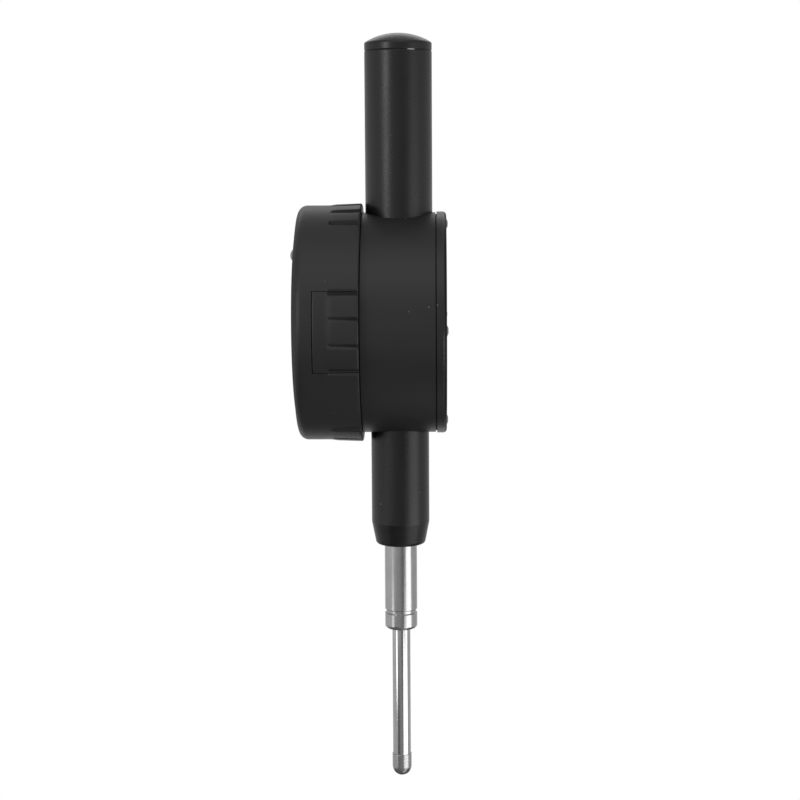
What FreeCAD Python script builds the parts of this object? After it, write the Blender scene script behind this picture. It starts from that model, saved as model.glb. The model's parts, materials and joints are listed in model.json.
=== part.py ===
"""Digital indicator with a turning display head, a long spindle tube and an 8 mm stem.

Millimetres. The spindle runs along Z and the display faces -Y. The origin is on the spindle axis,
half-way along the stretch of bare stem that a holder clamps. The case is centred CASE_Z above it.
"""

import FreeCAD
import Part
import math
import os

V = FreeCAD.Vector

# Main places along the spindle, measured from the origin
CASE_Z = 63.0
STEM_END_Z = -13.2
SLEEVE_END_Z = 8.25
SPINDLE_TRAVEL = 25.4
SPINDLE_SPARE = 6.8

# Fits between pieces
RUNNING_FIT = 0.02
HEAD_FIT = 0.05
LOOSE_FIT = 0.15
SEAT_GAP = 0.1
OVERCUT = 1.0

# Case: a round box, open at the back
CASE_R = 26.75
CASE_WALL = 2.0
CASE_FRONT_Y = -8.7
CASE_BACK_Y = 8.8
DECK = 1.6
DECK_HOLE_R = 5.0
BOSS_HALF_X = 11.0
BOSS_BACK_Y = 7.0
SEAT_Z = CASE_R - 1.55

# Spigot on the case that the display head turns on
SPIGOT_R = CASE_R - 5.75
SPIGOT_WALL = 2.0
SPIGOT_LENGTH = 3.6
CIRCLIP_R = SPIGOT_R + 0.9
CIRCLIP_DEPTH = 0.8
CIRCLIP_THICK = 0.8
CIRCLIP_GAP_DEG = 24.0
FRICTION_RING_R = SPIGOT_R + 1.6
FRICTION_RING_SECTION = 1.0
FRICTION_RING_PROUD = 0.15
STOP_PIN_RADIUS = 0.7
STOP_PIN_AT_R = CASE_R - 1.55
STOP_PIN_REACH = 1.0
HEAD_TURN_DEG = 135.0

# Back cover, its gasket and its screws
GASKET_THICK = 0.3
GASKET_INSET = 0.4
COVER_R = CASE_R + 0.15
COVER_THICK = 2.35
COVER_EDGE = 0.9
COVER_SCREW_AT_R = CASE_R - 2.85
COVER_SCREW_HEAD_R = 1.4
COVER_SCREW_HEAD = 1.2
COVER_SCREW_CROWN = 0.6
COVER_SCREW_RECESS = 0.6
RECESS_LONG = 0.55
RECESS_THIN = 0.14
COVER_SCREW_PROUD = 0.4
COVER_SCREW_R = 0.8
COVER_SCREW_TIP_Y = 5.2
COVER_BOSS_R = 2.4
COVER_BOSS_Y = 3.6

# Spindle tube and cap above the case
TUBE_R = 8.1
TUBE_WALL = 1.85
TUBE_BORE_R = TUBE_R - TUBE_WALL
CAP_RIM = 1.95
CAP_RISE = 2.3
CAP_PLUG = 2.75

# Stem and its sleeve below the case
STEM_R = 4.0
STEM_SEAT_R = STEM_R - 0.3
STEM_BORE_R = 2.5
STEM_TOP_Z = -20.0
STEM_CORNER = 0.9
STEM_GROOVE_Z = -8.75
STEM_GROOVE = 1.0
STEM_GROOVE_DEPTH = 0.3
SLEEVE_R = 7.1
SLEEVE_TAPER = 5.6
SLEEVE_END_R = 6.0
SLEEVE_CORNER = 0.9

# Spindle, contact point and guides
SPINDLE_R = 2.25
CONTACT_R = 2.4
CONTACT_LENGTH = 5.7
CONTACT_STUD_R = 1.2
CONTACT_STUD = 5.0
BUSH_R = 3.0
LOWER_BUSH = 10.0
UPPER_BUSH_R = 3.6
UPPER_BUSH_FLANGE_R = TUBE_BORE_R - 1.05
UPPER_BUSH_FLANGE = 0.6
WIPER_THICK = 0.8
BUFFER_THICK = 1.0
BUFFER_R = TUBE_BORE_R - 1.25
COLLAR_R = TUBE_BORE_R - 0.65
COLLAR_HEIGHT = 2.6
SPRING_R = COLLAR_R - 1.2
SPRING_WIRE_R = 0.25
SPRING_TURNS = 15
SPRING_CLOSED = 7.7

# Measuring scale and its carrier
CARRIER_LOW_Z = -18.6
CARRIER_HEIGHT = 9.6
CARRIER_CLEAR_TOP = 0.6
CARRIER_CLEAR_BOTTOM = 0.9
CARRIER_HALF_X = 6.0
CARRIER_PLATE = 1.3
CARRIER_CLAMP_R = 4.3
FORK_HALF_Y = 1.5
FORK_LOW = 2.6
FORK_HEIGHT = 4.4
FORK_REACH_X = 10.3
GUIDE_ROD_X = 8.5
GUIDE_ROD_R = 1.0
GUIDE_ROD_SEAT = 3.0
CARRIER_SCREW_R = 1.0
CARRIER_SCREW_PROUD = 0.4
SCALE_HALF_X = 5.0
SCALE_THICK = 0.4
SCALE_GAP = 0.2
SENSOR_THICK = 0.8
SENSOR_BACK_Y = -5.5
SENSOR_HALF_X = CASE_R - 13.75
SENSOR_CLEAR = 0.8
SENSOR_SCREW_INSET = 2.2
SENSOR_PAD_R = 1.8
SENSOR_SCREW_X = SENSOR_HALF_X - 2.0
SENSOR_SCREW_R = 0.8
SENSOR_SCREW_HEAD_R = 1.4
SENSOR_SCREW_HEAD = 0.8
SENSOR_SCREW_DEPTH = 0.8
SENSOR_CHIP_HALF_X = 3.5
SENSOR_CHIP_LOW_Z = 6.5
SENSOR_CHIP_HEIGHT = 6.0
FLEX_HALF_X = 2.5
FLEX_THICK = 0.2
FLEX_GAP = 0.3

# Display head
BEZEL_R = CASE_R + 1.75
BEZEL_FRONT_Y = -24.35
BEZEL_BACK_Y = -8.9
BEZEL_WALL = 2.2
BEZEL_BORE_R = BEZEL_R - BEZEL_WALL
BEZEL_CORNER = 2.2
BEZEL_REAR_EDGE = 0.3
BEZEL_LEDGE_Y = -23.1
BEZEL_LEDGE_THICK = 0.9
BEZEL_LEDGE_WIDTH = 0.8
PANEL_R = BEZEL_R - 4.5
PANEL_PROUD = 0.35
PANEL_EDGE = 0.18
GRIP_FRONT_Y = -16.9
GRIP_RAMP = 1.0
GRIP_FRONT_RISE = 0.2
GRIP_BACK_RISE = 0.45
GRIP_GROOVE = 1.0
GRIP_GROOVE_DEPTH = 0.45
GRIP_END_GROOVE = 1.6
GRIP_END_DEPTH = 0.8
GRIP_TALL_COUNT = 5
GRIP_SIDE_COUNT = 3
GRIP_END_DEG = 0.45
REAR_PLATE_R = BEZEL_R - 1.8
REAR_PLATE_THICK = 1.7
HEAD_POST_R = 2.2
HEAD_POST_AT_R = BEZEL_BORE_R - 2.0
HEAD_SCREW_R = 0.9
HEAD_SCREW_HEAD_R = 1.8
HEAD_SCREW_HEAD = 1.0
HEAD_SCREW_DEEP = 2.0

# Display, boards and buttons
WINDOW_HALF_X = PANEL_R - 6.4
WINDOW_LOW_Z = -8.6
WINDOW_HIGH_Z = 7.1
WINDOW_CORNER = 1.0
LCD_BORDER = 1.9
LCD_HALF_X = WINDOW_HALF_X + LCD_BORDER
LCD_LOW_Z = WINDOW_LOW_Z - LCD_BORDER
LCD_HIGH_Z = WINDOW_HIGH_Z + LCD_BORDER
GLASS_BORDER = 0.5
LCD_FRONT_GAP = 0.2
LCD_THICK = 1.9
ZEBRA_THICK = 0.4
ZEBRA_WIDE = 1.6
ZEBRA_INSET = 1.0
BOARD_R = BEZEL_BORE_R - 0.2
BOARD_THICK = 1.0
DISPLAY_CHIP_R = 4.5
DISPLAY_CHIP_HEIGHT = 0.9
DISPLAY_CHIP_AT = (-12.0, 4.0)
SOCKET_HALF_X = 3.5
SOCKET_HALF_Z = 1.4
SOCKET_DEEP = 1.2
MAT_THICK = 0.7
MAT_MARGIN = 3.2
MAT_COLLAR_R = 2.9
MAT_COLLAR_WALL = 0.5
MAT_COLLAR = 0.9
BUTTON_R = 1.6
BUTTON_PROUD = 0.85
BUTTON_FLANGE_R = 1.9
BUTTON_FLANGE = 0.7
BUTTON_STEM_R = 1.0
BUTTON_TRAVEL = 0.4
BUTTON_AT_R = PANEL_R - 3.2
BUTTON_DEGREES = {"button_on_off": 125.2, "button_unit": 90.0, "button_zero": 54.8}

# Battery drawer in the +X side of the head
HATCH_FRONT_Y = -19.6
HATCH_GAP_DEG = 0.3
CELL_R = 8.0
CELL_THICK = 3.2
CELL_EDGE = 0.4
CELL_STEP = 0.4
CELL_STEP_IN = 1.0
CELL_X = BEZEL_BORE_R - CELL_R - 1.1
CELL_FRONT_Y = -17.6
TRAY_FLOOR = 0.6
TRAY_RIM = 0.68
TRAY_ROOT = 0.5
TRAY_INNER_X = CELL_X - 5.3
BAY_WALL = 0.6
BAY_FRONT_Y = -18.9
BAY_INNER_X = CELL_X - CELL_R - 1.3
BAY_OUTER_X = BEZEL_BORE_R - 1.0
BAY_RAIL_HALF = 0.5
CONTACT_STRIP = 0.2
LEAF_HALF_X = 5.0
LEAF_HALF_Z = 2.0
LEAF_CLEAR_Y = 0.6

# Grip pads of the bezel, as (segments, angle above +X); the drawer carries the one at 0
BEZEL_PADS = ((GRIP_TALL_COUNT, 90.0), (GRIP_TALL_COUNT, -90.0), (GRIP_SIDE_COUNT, 180.0))

# Sizes worked out from the ones above
TIP_Z = STEM_END_Z - SPINDLE_TRAVEL - SPINDLE_SPARE - CONTACT_LENGTH
TUBE_BOTTOM_Z = CASE_Z + SEAT_Z
BUFFER_Z = TUBE_BOTTOM_Z + UPPER_BUSH_FLANGE
COLLAR_Z = BUFFER_Z + BUFFER_THICK
SPINDLE_TOP_Z = COLLAR_Z + COLLAR_HEIGHT
CAP_PLUG_Z = SPINDLE_TOP_Z + SPINDLE_TRAVEL + SPRING_CLOSED
TUBE_TOP_Z = CAP_PLUG_Z + CAP_PLUG
CARRIER_HIGH_Z = CARRIER_LOW_Z + CARRIER_HEIGHT
TOP_BOSS_Z = CARRIER_HIGH_Z + SPINDLE_TRAVEL + CARRIER_CLEAR_TOP
BOTTOM_BOSS_Z = CARRIER_LOW_Z - CARRIER_CLEAR_BOTTOM
SENSOR_LOW_Z = BOTTOM_BOSS_Z + SENSOR_CLEAR
SENSOR_HIGH_Z = TOP_BOSS_Z - SENSOR_CLEAR
SPINDLE_END_Z = TIP_Z + CONTACT_LENGTH
SPIGOT_FRONT_Y = CASE_FRONT_Y - SPIGOT_LENGTH
REAR_PLATE_FRONT_Y = BEZEL_BACK_Y - REAR_PLATE_THICK
CIRCLIP_FRONT_Y = REAR_PLATE_FRONT_Y - SEAT_GAP - CIRCLIP_THICK
PANEL_FRONT_Y = BEZEL_FRONT_Y - PANEL_PROUD
LCD_FRONT_Y = BEZEL_LEDGE_Y + LCD_FRONT_GAP
LCD_BACK_Y = LCD_FRONT_Y + LCD_THICK
BOARD_FRONT_Y = LCD_BACK_Y + ZEBRA_THICK
BOARD_BACK_Y = BOARD_FRONT_Y + BOARD_THICK
COVER_FRONT_Y = CASE_BACK_Y + GASKET_THICK
COVER_BACK_Y = COVER_FRONT_Y + COVER_THICK
SENSOR_FRONT_Y = SENSOR_BACK_Y - SENSOR_THICK
DECK_BACK_Y = CASE_FRONT_Y + DECK
SCALE_FRONT_Y = SENSOR_BACK_Y + SCALE_GAP
CARRIER_FRONT_Y = SCALE_FRONT_Y + SCALE_THICK
HATCH_HALF_DEG = math.degrees(math.asin((CELL_R + TRAY_RIM) / BEZEL_BORE_R))
GRIP_PITCH_DEG = 2 * (HATCH_HALF_DEG - GRIP_END_DEG) / GRIP_SIDE_COUNT
TRAY_HALF_Z = CELL_R + TRAY_RIM - LOOSE_FIT


def solid_of(shape):
    """Return the one solid in a shape, with its faces outwards."""
    solid = shape.Solids[0]
    if solid.Volume < 0:
        solid.reverse()
    return solid


def turned_z(profile):
    """Turn (radius, height) points about the spindle axis; heights are measured from the origin."""
    points = [V(r, 0, z) for r, z in profile]
    face = Part.Face(Part.makePolygon(points + points[:1]))
    return solid_of(face.revolve(V(0, 0, 0), V(0, 0, 1), 360))


def turned_y(profile, angle=360.0, start=0.0):
    """Turn (radius, y) points about the head axis, from an angle above +X."""
    points = [V(r, y, CASE_Z) for r, y in profile]
    face = Part.Face(Part.makePolygon(points + points[:1]))
    solid = solid_of(face.revolve(V(0, 0, CASE_Z), V(0, -1, 0), angle))
    return rotated_y(solid, start)


def rotated_y(shape, angle):
    """Turn a shape about the head axis, from +X towards +Z."""
    copy = shape.copy()
    copy.rotate(V(0, 0, CASE_Z), V(0, -1, 0), angle)
    return copy


def disc_y(radius, y_low, y_high, x=0.0, z=0.0):
    """Cylinder along Y at a place given from the case centre."""
    return Part.makeCylinder(radius, y_high - y_low, V(x, y_low, CASE_Z + z), V(0, 1, 0))


def ring_y(outer, inner, y_low, y_high):
    """Flat ring about the head axis."""
    return turned_y([(inner, y_low), (outer, y_low), (outer, y_high), (inner, y_high)])


def rod_z(radius, z_low, z_high, x=0.0, y=0.0):
    """Cylinder along Z between two heights from the origin."""
    return Part.makeCylinder(radius, z_high - z_low, V(x, y, z_low))


def ring_z(outer, inner, z_low, z_high):
    """Ring about the spindle axis."""
    return turned_z([(inner, z_low), (outer, z_low), (outer, z_high), (inner, z_high)])


def block(x, y, z):
    """Box from (low, high) pairs; heights are measured from the case centre."""
    return Part.makeBox(x[1] - x[0], y[1] - y[0], z[1] - z[0], V(x[0], y[0], CASE_Z + z[0]))


def around(radius, count, start=0.0):
    """Places (x, z) evenly spaced on a circle about the head axis."""
    step = 2 * math.pi / count
    first = math.radians(start)
    return [(radius * math.cos(first + i * step), radius * math.sin(first + i * step)) for i in range(count)]


def edges_where(shape, test):
    """Edges of a shape whose middle point passes a test."""
    return [e for e in shape.Edges if test(e.valueAt((e.FirstParameter + e.LastParameter) / 2))]


def circles_at(shape, height, radius):
    """Circular edges about the spindle axis at a height, with a given radius."""
    return edges_where(shape, lambda p: (abs(p.z - height) < 1e-6
                                         and abs(math.hypot(p.x, p.y) - radius) < 1e-3))


def radius_at(point):
    """Distance of a point from the head axis."""
    return math.hypot(point.x, point.z - CASE_Z)


def cover_screw_places():
    return around(COVER_SCREW_AT_R, 4)


def head_screw_places():
    return around(HEAD_POST_AT_R, 4, 45.0)


def button_places():
    """Place (x, z) of each button, by its name."""
    return {name: (BUTTON_AT_R * math.cos(math.radians(angle)), BUTTON_AT_R * math.sin(math.radians(angle)))
            for name, angle in BUTTON_DEGREES.items()}


def sensor_screw_places():
    heights = (SENSOR_LOW_Z + SENSOR_SCREW_INSET, SENSOR_HIGH_Z - SENSOR_SCREW_INSET)
    return [(side * SENSOR_SCREW_X, z) for side in (-1, 1) for z in heights]


def stop_groove():
    """Arc in the case front that the stop pin runs in, open downwards by the turning range each way."""
    half_width = STOP_PIN_RADIUS + LOOSE_FIT
    low, high = CASE_FRONT_Y - SEAT_GAP, BEZEL_BACK_Y + STOP_PIN_REACH + LOOSE_FIT
    inner, outer = STOP_PIN_AT_R - half_width, STOP_PIN_AT_R + half_width
    profile = [(inner, low), (outer, low), (outer, high), (inner, high)]
    groove = turned_y(profile, 2 * HEAD_TURN_DEG, -90.0 - HEAD_TURN_DEG)
    for end in (-90.0 - HEAD_TURN_DEG, -90.0 + HEAD_TURN_DEG):
        x = STOP_PIN_AT_R * math.cos(math.radians(end))
        z = STOP_PIN_AT_R * math.sin(math.radians(end))
        groove = groove.fuse(disc_y(half_width, low, high, x, z))
    return groove


def make_case():
    """Round case with its front deck, spigot, spindle bosses and screw bosses."""
    inner = CASE_R - CASE_WALL
    body = turned_y([
        (DECK_HOLE_R, CASE_FRONT_Y), (SPIGOT_R - SPIGOT_WALL, CASE_FRONT_Y),
        (SPIGOT_R - SPIGOT_WALL, SPIGOT_FRONT_Y), (SPIGOT_R, SPIGOT_FRONT_Y),
        (SPIGOT_R, CASE_FRONT_Y), (CASE_R, CASE_FRONT_Y), (CASE_R, CASE_BACK_Y),
        (inner, CASE_BACK_Y), (inner, DECK_BACK_Y), (DECK_HOLE_R, DECK_BACK_Y)])
    bosses = [
        block((-BOSS_HALF_X, BOSS_HALF_X), (DECK_BACK_Y, BOSS_BACK_Y), (TOP_BOSS_Z, inner)),
        block((-BOSS_HALF_X, BOSS_HALF_X), (DECK_BACK_Y, BOSS_BACK_Y), (-inner, BOTTOM_BOSS_Z))]
    bosses += [disc_y(COVER_BOSS_R, COVER_BOSS_Y, CASE_BACK_Y, x, z) for x, z in cover_screw_places()]
    bosses += [disc_y(SENSOR_PAD_R, DECK_BACK_Y, SENSOR_FRONT_Y, x, z) for x, z in sensor_screw_places()]
    body = body.fuse([b.common(disc_y(CASE_R, CASE_FRONT_Y, CASE_BACK_Y)) for b in bosses]).removeSplitter()
    cuts = [
        rod_z(TUBE_R, TUBE_BOTTOM_Z, TUBE_TOP_Z),
        rod_z(SLEEVE_R, SLEEVE_END_Z, CASE_Z - SEAT_Z),
        rod_z(UPPER_BUSH_R, CASE_Z, TUBE_TOP_Z),
        rod_z(STEM_SEAT_R, SLEEVE_END_Z, CASE_Z + STEM_TOP_Z),
        rod_z(BUSH_R, CASE_Z + STEM_TOP_Z - OVERCUT, CASE_Z),
        rod_z(GUIDE_ROD_R, CASE_Z + BOTTOM_BOSS_Z - GUIDE_ROD_SEAT, CASE_Z + TOP_BOSS_Z + GUIDE_ROD_SEAT,
              GUIDE_ROD_X),
        ring_y(SPIGOT_R + OVERCUT, SPIGOT_R - CIRCLIP_DEPTH, CIRCLIP_FRONT_Y,
               CIRCLIP_FRONT_Y + CIRCLIP_THICK),
        ring_y(FRICTION_RING_R + FRICTION_RING_SECTION / 2, FRICTION_RING_R - FRICTION_RING_SECTION / 2,
               CASE_FRONT_Y - SEAT_GAP, CASE_FRONT_Y - FRICTION_RING_PROUD + FRICTION_RING_SECTION),
        stop_groove()]
    cuts += [disc_y(COVER_SCREW_R, COVER_SCREW_TIP_Y, CASE_BACK_Y, x, z) for x, z in cover_screw_places()]
    cuts += [disc_y(SENSOR_SCREW_R, DECK_BACK_Y - SENSOR_SCREW_DEPTH, SENSOR_FRONT_Y, x, z)
             for x, z in sensor_screw_places()]
    return solid_of(body.cut(cuts))


def make_back_cover():
    """Flat round cover with a softened rim and four counterbored screw holes."""
    cover = disc_y(COVER_R, COVER_FRONT_Y, COVER_BACK_Y)
    rim = edges_where(cover, lambda p: abs(p.y - COVER_BACK_Y) < 1e-6 and radius_at(p) > COVER_R - 1e-3)
    cover = cover.makeFillet(COVER_EDGE, rim)
    seat = COVER_BACK_Y + COVER_SCREW_PROUD - COVER_SCREW_HEAD
    for x, z in cover_screw_places():
        cover = cover.cut(disc_y(COVER_SCREW_HEAD_R + LOOSE_FIT, seat, COVER_BACK_Y, x, z))
        cover = cover.cut(disc_y(COVER_SCREW_R + LOOSE_FIT, COVER_FRONT_Y, COVER_BACK_Y, x, z))
    return solid_of(cover)


def make_cover_gasket():
    """Thin seal between the case and its cover, holed for the screws."""
    gasket = ring_y(CASE_R - GASKET_INSET, CASE_R - CASE_WALL, CASE_BACK_Y, COVER_FRONT_Y)
    ears = [disc_y(COVER_BOSS_R, CASE_BACK_Y, COVER_FRONT_Y, x, z) for x, z in cover_screw_places()]
    gasket = gasket.fuse([e.common(disc_y(CASE_R - GASKET_INSET, CASE_BACK_Y, COVER_FRONT_Y)) for e in ears])
    holes = [disc_y(COVER_SCREW_R + LOOSE_FIT, CASE_BACK_Y, COVER_FRONT_Y, x, z)
             for x, z in cover_screw_places()]
    return solid_of(gasket.removeSplitter().cut(holes))


def cross_slot(radius, y_low, y_high, x, z):
    """Cross-shaped driver recess."""
    long_half, thin_half = radius * RECESS_LONG, radius * RECESS_THIN
    bars = [
        block((x - long_half, x + long_half), (y_low, y_high), (z - thin_half, z + thin_half)),
        block((x - thin_half, x + thin_half), (y_low, y_high), (z - long_half, z + long_half))]
    return bars[0].fuse(bars[1])


def make_cover_screws():
    """Four pan-head screws that stand a little proud of the cover."""
    top = COVER_BACK_Y + COVER_SCREW_PROUD
    seat = top - COVER_SCREW_HEAD
    screws = []
    for x, z in cover_screw_places():
        head = disc_y(COVER_SCREW_HEAD_R, seat, top, x, z)
        crown = edges_where(head, lambda p: abs(p.y - top) < 1e-6)
        head = head.makeFillet(COVER_SCREW_CROWN, crown)
        screw = head.fuse(disc_y(COVER_SCREW_R, COVER_SCREW_TIP_Y, seat, x, z)).removeSplitter()
        recess = cross_slot(COVER_SCREW_HEAD_R, top - COVER_SCREW_RECESS, top, x, z)
        screws.append(solid_of(screw.cut(recess)))
    return Part.Compound(screws)


def make_top_tube():
    return ring_z(TUBE_R, TUBE_BORE_R, TUBE_BOTTOM_Z, TUBE_TOP_Z)


def make_tube_cap():
    """Domed cap: a straight rim, a shallow dome and a plug that screws into the tube."""
    rim_z = TUBE_TOP_Z + CAP_RIM
    dome_r = (TUBE_R ** 2 + CAP_RISE ** 2) / (2 * CAP_RISE)
    top = V(0, 0, rim_z + CAP_RISE)
    half = math.asin(TUBE_R / dome_r) / 2
    middle = V(dome_r * math.sin(half), 0, top.z - dome_r + dome_r * math.cos(half))
    corner = V(TUBE_R, 0, rim_z)
    points = [top, V(0, 0, CAP_PLUG_Z), V(TUBE_BORE_R, 0, CAP_PLUG_Z), V(TUBE_BORE_R, 0, TUBE_TOP_Z),
              V(TUBE_R, 0, TUBE_TOP_Z), corner]
    edges = Part.makePolygon(points).Edges + [Part.Arc(corner, middle, top).toShape()]
    face = Part.Face(Part.Wire(edges))
    return solid_of(face.revolve(V(0, 0, 0), V(0, 0, 1), 360))


def make_stem_sleeve():
    """Black sleeve with a tapered and rounded lower end."""
    top = CASE_Z - SEAT_Z
    taper_z = SLEEVE_END_Z + SLEEVE_TAPER
    sleeve = turned_z([(STEM_SEAT_R, SLEEVE_END_Z), (SLEEVE_END_R, SLEEVE_END_Z), (SLEEVE_R, taper_z),
                       (SLEEVE_R, top), (STEM_SEAT_R, top)])
    return solid_of(sleeve.makeFillet(SLEEVE_CORNER, circles_at(sleeve, SLEEVE_END_Z, SLEEVE_END_R)))


def make_stem():
    """Clamping stem with a fine groove, a rounded end, a shoulder for the sleeve and a seat for the bush."""
    groove_low = STEM_GROOVE_Z - STEM_GROOVE / 2
    groove_high = STEM_GROOVE_Z + STEM_GROOVE / 2
    groove_r = STEM_R - STEM_GROOVE_DEPTH
    bush_top = STEM_END_Z + WIPER_THICK + LOWER_BUSH
    stem = turned_z([
        (BUSH_R, STEM_END_Z), (STEM_R, STEM_END_Z), (STEM_R, groove_low), (groove_r, groove_low),
        (groove_r, groove_high), (STEM_R, groove_high), (STEM_R, SLEEVE_END_Z), (STEM_SEAT_R, SLEEVE_END_Z),
        (STEM_SEAT_R, CASE_Z + STEM_TOP_Z), (STEM_BORE_R, CASE_Z + STEM_TOP_Z), (STEM_BORE_R, bush_top),
        (BUSH_R, bush_top)])
    return solid_of(stem.makeFillet(STEM_CORNER, circles_at(stem, STEM_END_Z, STEM_R)))


def make_lower_bush():
    low = STEM_END_Z + WIPER_THICK
    return ring_z(BUSH_R, SPINDLE_R + RUNNING_FIT, low, low + LOWER_BUSH)


def make_wiper_seal():
    return ring_z(BUSH_R, SPINDLE_R + RUNNING_FIT, STEM_END_Z, STEM_END_Z + WIPER_THICK)


def make_upper_bush():
    """Flanged bush in the top boss."""
    bore = SPINDLE_R + RUNNING_FIT
    return turned_z([
        (bore, CASE_Z + TOP_BOSS_Z), (UPPER_BUSH_R, CASE_Z + TOP_BOSS_Z), (UPPER_BUSH_R, TUBE_BOTTOM_Z),
        (UPPER_BUSH_FLANGE_R, TUBE_BOTTOM_Z), (UPPER_BUSH_FLANGE_R, BUFFER_Z), (bore, BUFFER_Z)])


def make_stop_buffer():
    return ring_z(BUFFER_R, SPINDLE_R + LOOSE_FIT, BUFFER_Z, COLLAR_Z)


def make_spindle():
    """Ground rod with a stud hole for the contact point."""
    rod = rod_z(SPINDLE_R, SPINDLE_END_Z, SPINDLE_TOP_Z)
    return solid_of(rod.cut(rod_z(CONTACT_STUD_R, SPINDLE_END_Z, SPINDLE_END_Z + CONTACT_STUD)))


def make_spindle_collar():
    return ring_z(COLLAR_R, SPINDLE_R, COLLAR_Z, SPINDLE_TOP_Z)


def make_contact_point():
    """Contact point with a half-ball end and a stud."""
    body = rod_z(CONTACT_R, TIP_Z + CONTACT_R, SPINDLE_END_Z)
    ball = Part.makeSphere(CONTACT_R, V(0, 0, TIP_Z + CONTACT_R))
    stud = rod_z(CONTACT_STUD_R, SPINDLE_END_Z, SPINDLE_END_Z + CONTACT_STUD)
    return solid_of(body.fuse([ball, stud]).removeSplitter())


def make_return_spring():
    """Compression spring between the collar and the cap."""
    low = SPINDLE_TOP_Z + SPRING_WIRE_R
    high = CAP_PLUG_Z - SPRING_WIRE_R
    pitch = (high - low) / SPRING_TURNS
    helix = Part.makeHelix(pitch, high - low, SPRING_R)
    helix.translate(V(0, 0, low))
    profile = Part.Wire(Part.makeCircle(SPRING_WIRE_R, V(SPRING_R, 0, low), V(0, 1, 0)))
    return solid_of(Part.Wire(helix).makePipeShell([profile], True, True))


def make_guide_rod():
    return rod_z(GUIDE_ROD_R, CASE_Z + BOTTOM_BOSS_Z - GUIDE_ROD_SEAT, CASE_Z + TOP_BOSS_Z + GUIDE_ROD_SEAT,
                 GUIDE_ROD_X)


def make_scale_carrier():
    """Carrier clamped on the spindle, with a plate for the scale and a fork on the guide rod."""
    high = CARRIER_HIGH_Z
    plate = block((-CARRIER_HALF_X, CARRIER_HALF_X), (CARRIER_FRONT_Y, CARRIER_FRONT_Y + CARRIER_PLATE),
                  (CARRIER_LOW_Z, high))
    clamp = rod_z(CARRIER_CLAMP_R, CASE_Z + CARRIER_LOW_Z, CASE_Z + high)
    fork_z = (CARRIER_LOW_Z + FORK_LOW, CARRIER_LOW_Z + FORK_LOW + FORK_HEIGHT)
    fork = block((0, FORK_REACH_X), (-FORK_HALF_Y, FORK_HALF_Y), fork_z)
    slot_half = GUIDE_ROD_R + HEAD_FIT
    slot = block((GUIDE_ROD_X - slot_half, FORK_REACH_X), (-slot_half, slot_half), fork_z)
    body = clamp.fuse([plate, fork]).removeSplitter()
    screw = Part.makeCylinder(CARRIER_SCREW_R, 2 * CARRIER_CLAMP_R, V(0, 0, carrier_screw_z()), V(0, 1, 0))
    return solid_of(body.cut([slot, rod_z(SPINDLE_R, CASE_Z + CARRIER_LOW_Z, CASE_Z + high), screw]))


def carrier_screw_z():
    return CASE_Z + CARRIER_LOW_Z + CARRIER_HEIGHT / 2


def make_carrier_screw():
    """Set screw that grips the spindle; its point follows the spindle's curve."""
    length = CARRIER_CLAMP_R + CARRIER_SCREW_PROUD
    screw = Part.makeCylinder(CARRIER_SCREW_R, length, V(0, 0, carrier_screw_z()), V(0, 1, 0))
    return solid_of(screw.cut(rod_z(SPINDLE_R, CASE_Z + CARRIER_LOW_Z, CASE_Z)))


def make_scale_strip():
    return block((-SCALE_HALF_X, SCALE_HALF_X), (SCALE_FRONT_Y, CARRIER_FRONT_Y),
                 (CARRIER_LOW_Z, CARRIER_HIGH_Z))


def make_sensor_board():
    """Measuring board with corner holes and its chip on the deck side."""
    board = block((-SENSOR_HALF_X, SENSOR_HALF_X), (SENSOR_FRONT_Y, SENSOR_BACK_Y),
                  (SENSOR_LOW_Z, SENSOR_HIGH_Z))
    chip = block((-SENSOR_CHIP_HALF_X, SENSOR_CHIP_HALF_X), (DECK_BACK_Y + SEAT_GAP, SENSOR_FRONT_Y),
                 (SENSOR_CHIP_LOW_Z, SENSOR_CHIP_LOW_Z + SENSOR_CHIP_HEIGHT))
    holes = [disc_y(SENSOR_SCREW_R, SENSOR_FRONT_Y, SENSOR_BACK_Y, x, z) for x, z in sensor_screw_places()]
    return solid_of(board.fuse(chip).removeSplitter().cut(holes))


def make_sensor_screws():
    """Screws that hold the measuring board to its pads."""
    screws = []
    for x, z in sensor_screw_places():
        head = disc_y(SENSOR_SCREW_HEAD_R, SENSOR_BACK_Y, SENSOR_BACK_Y + SENSOR_SCREW_HEAD, x, z)
        shank = disc_y(SENSOR_SCREW_R, DECK_BACK_Y - SENSOR_SCREW_DEPTH, SENSOR_BACK_Y, x, z)
        screws.append(solid_of(head.fuse(shank).removeSplitter()))
    return Part.Compound(screws)


def make_flex_cable():
    """Ribbon along the head's axis, from the measuring board towards its socket."""
    socket_back = BOARD_BACK_Y + SOCKET_DEEP
    return block((-FLEX_HALF_X, FLEX_HALF_X), (socket_back + FLEX_GAP, SENSOR_FRONT_Y),
                 (-FLEX_THICK / 2, FLEX_THICK / 2))


def make_head_retaining_ring():
    """Split ring in the spigot's groove."""
    inner = SPIGOT_R - CIRCLIP_DEPTH
    high = CIRCLIP_FRONT_Y + CIRCLIP_THICK
    profile = [(inner, CIRCLIP_FRONT_Y), (CIRCLIP_R, CIRCLIP_FRONT_Y), (CIRCLIP_R, high), (inner, high)]
    return turned_y(profile, 360.0 - CIRCLIP_GAP_DEG, 90.0 + CIRCLIP_GAP_DEG / 2)


def make_friction_ring():
    """Rubber ring in the case front that keeps the head where it is turned."""
    centre_y = CASE_FRONT_Y - FRICTION_RING_PROUD + FRICTION_RING_SECTION / 2
    ring = Part.makeTorus(FRICTION_RING_R, FRICTION_RING_SECTION / 2, V(0, centre_y, CASE_Z), V(0, 1, 0))
    return solid_of(ring)


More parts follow.
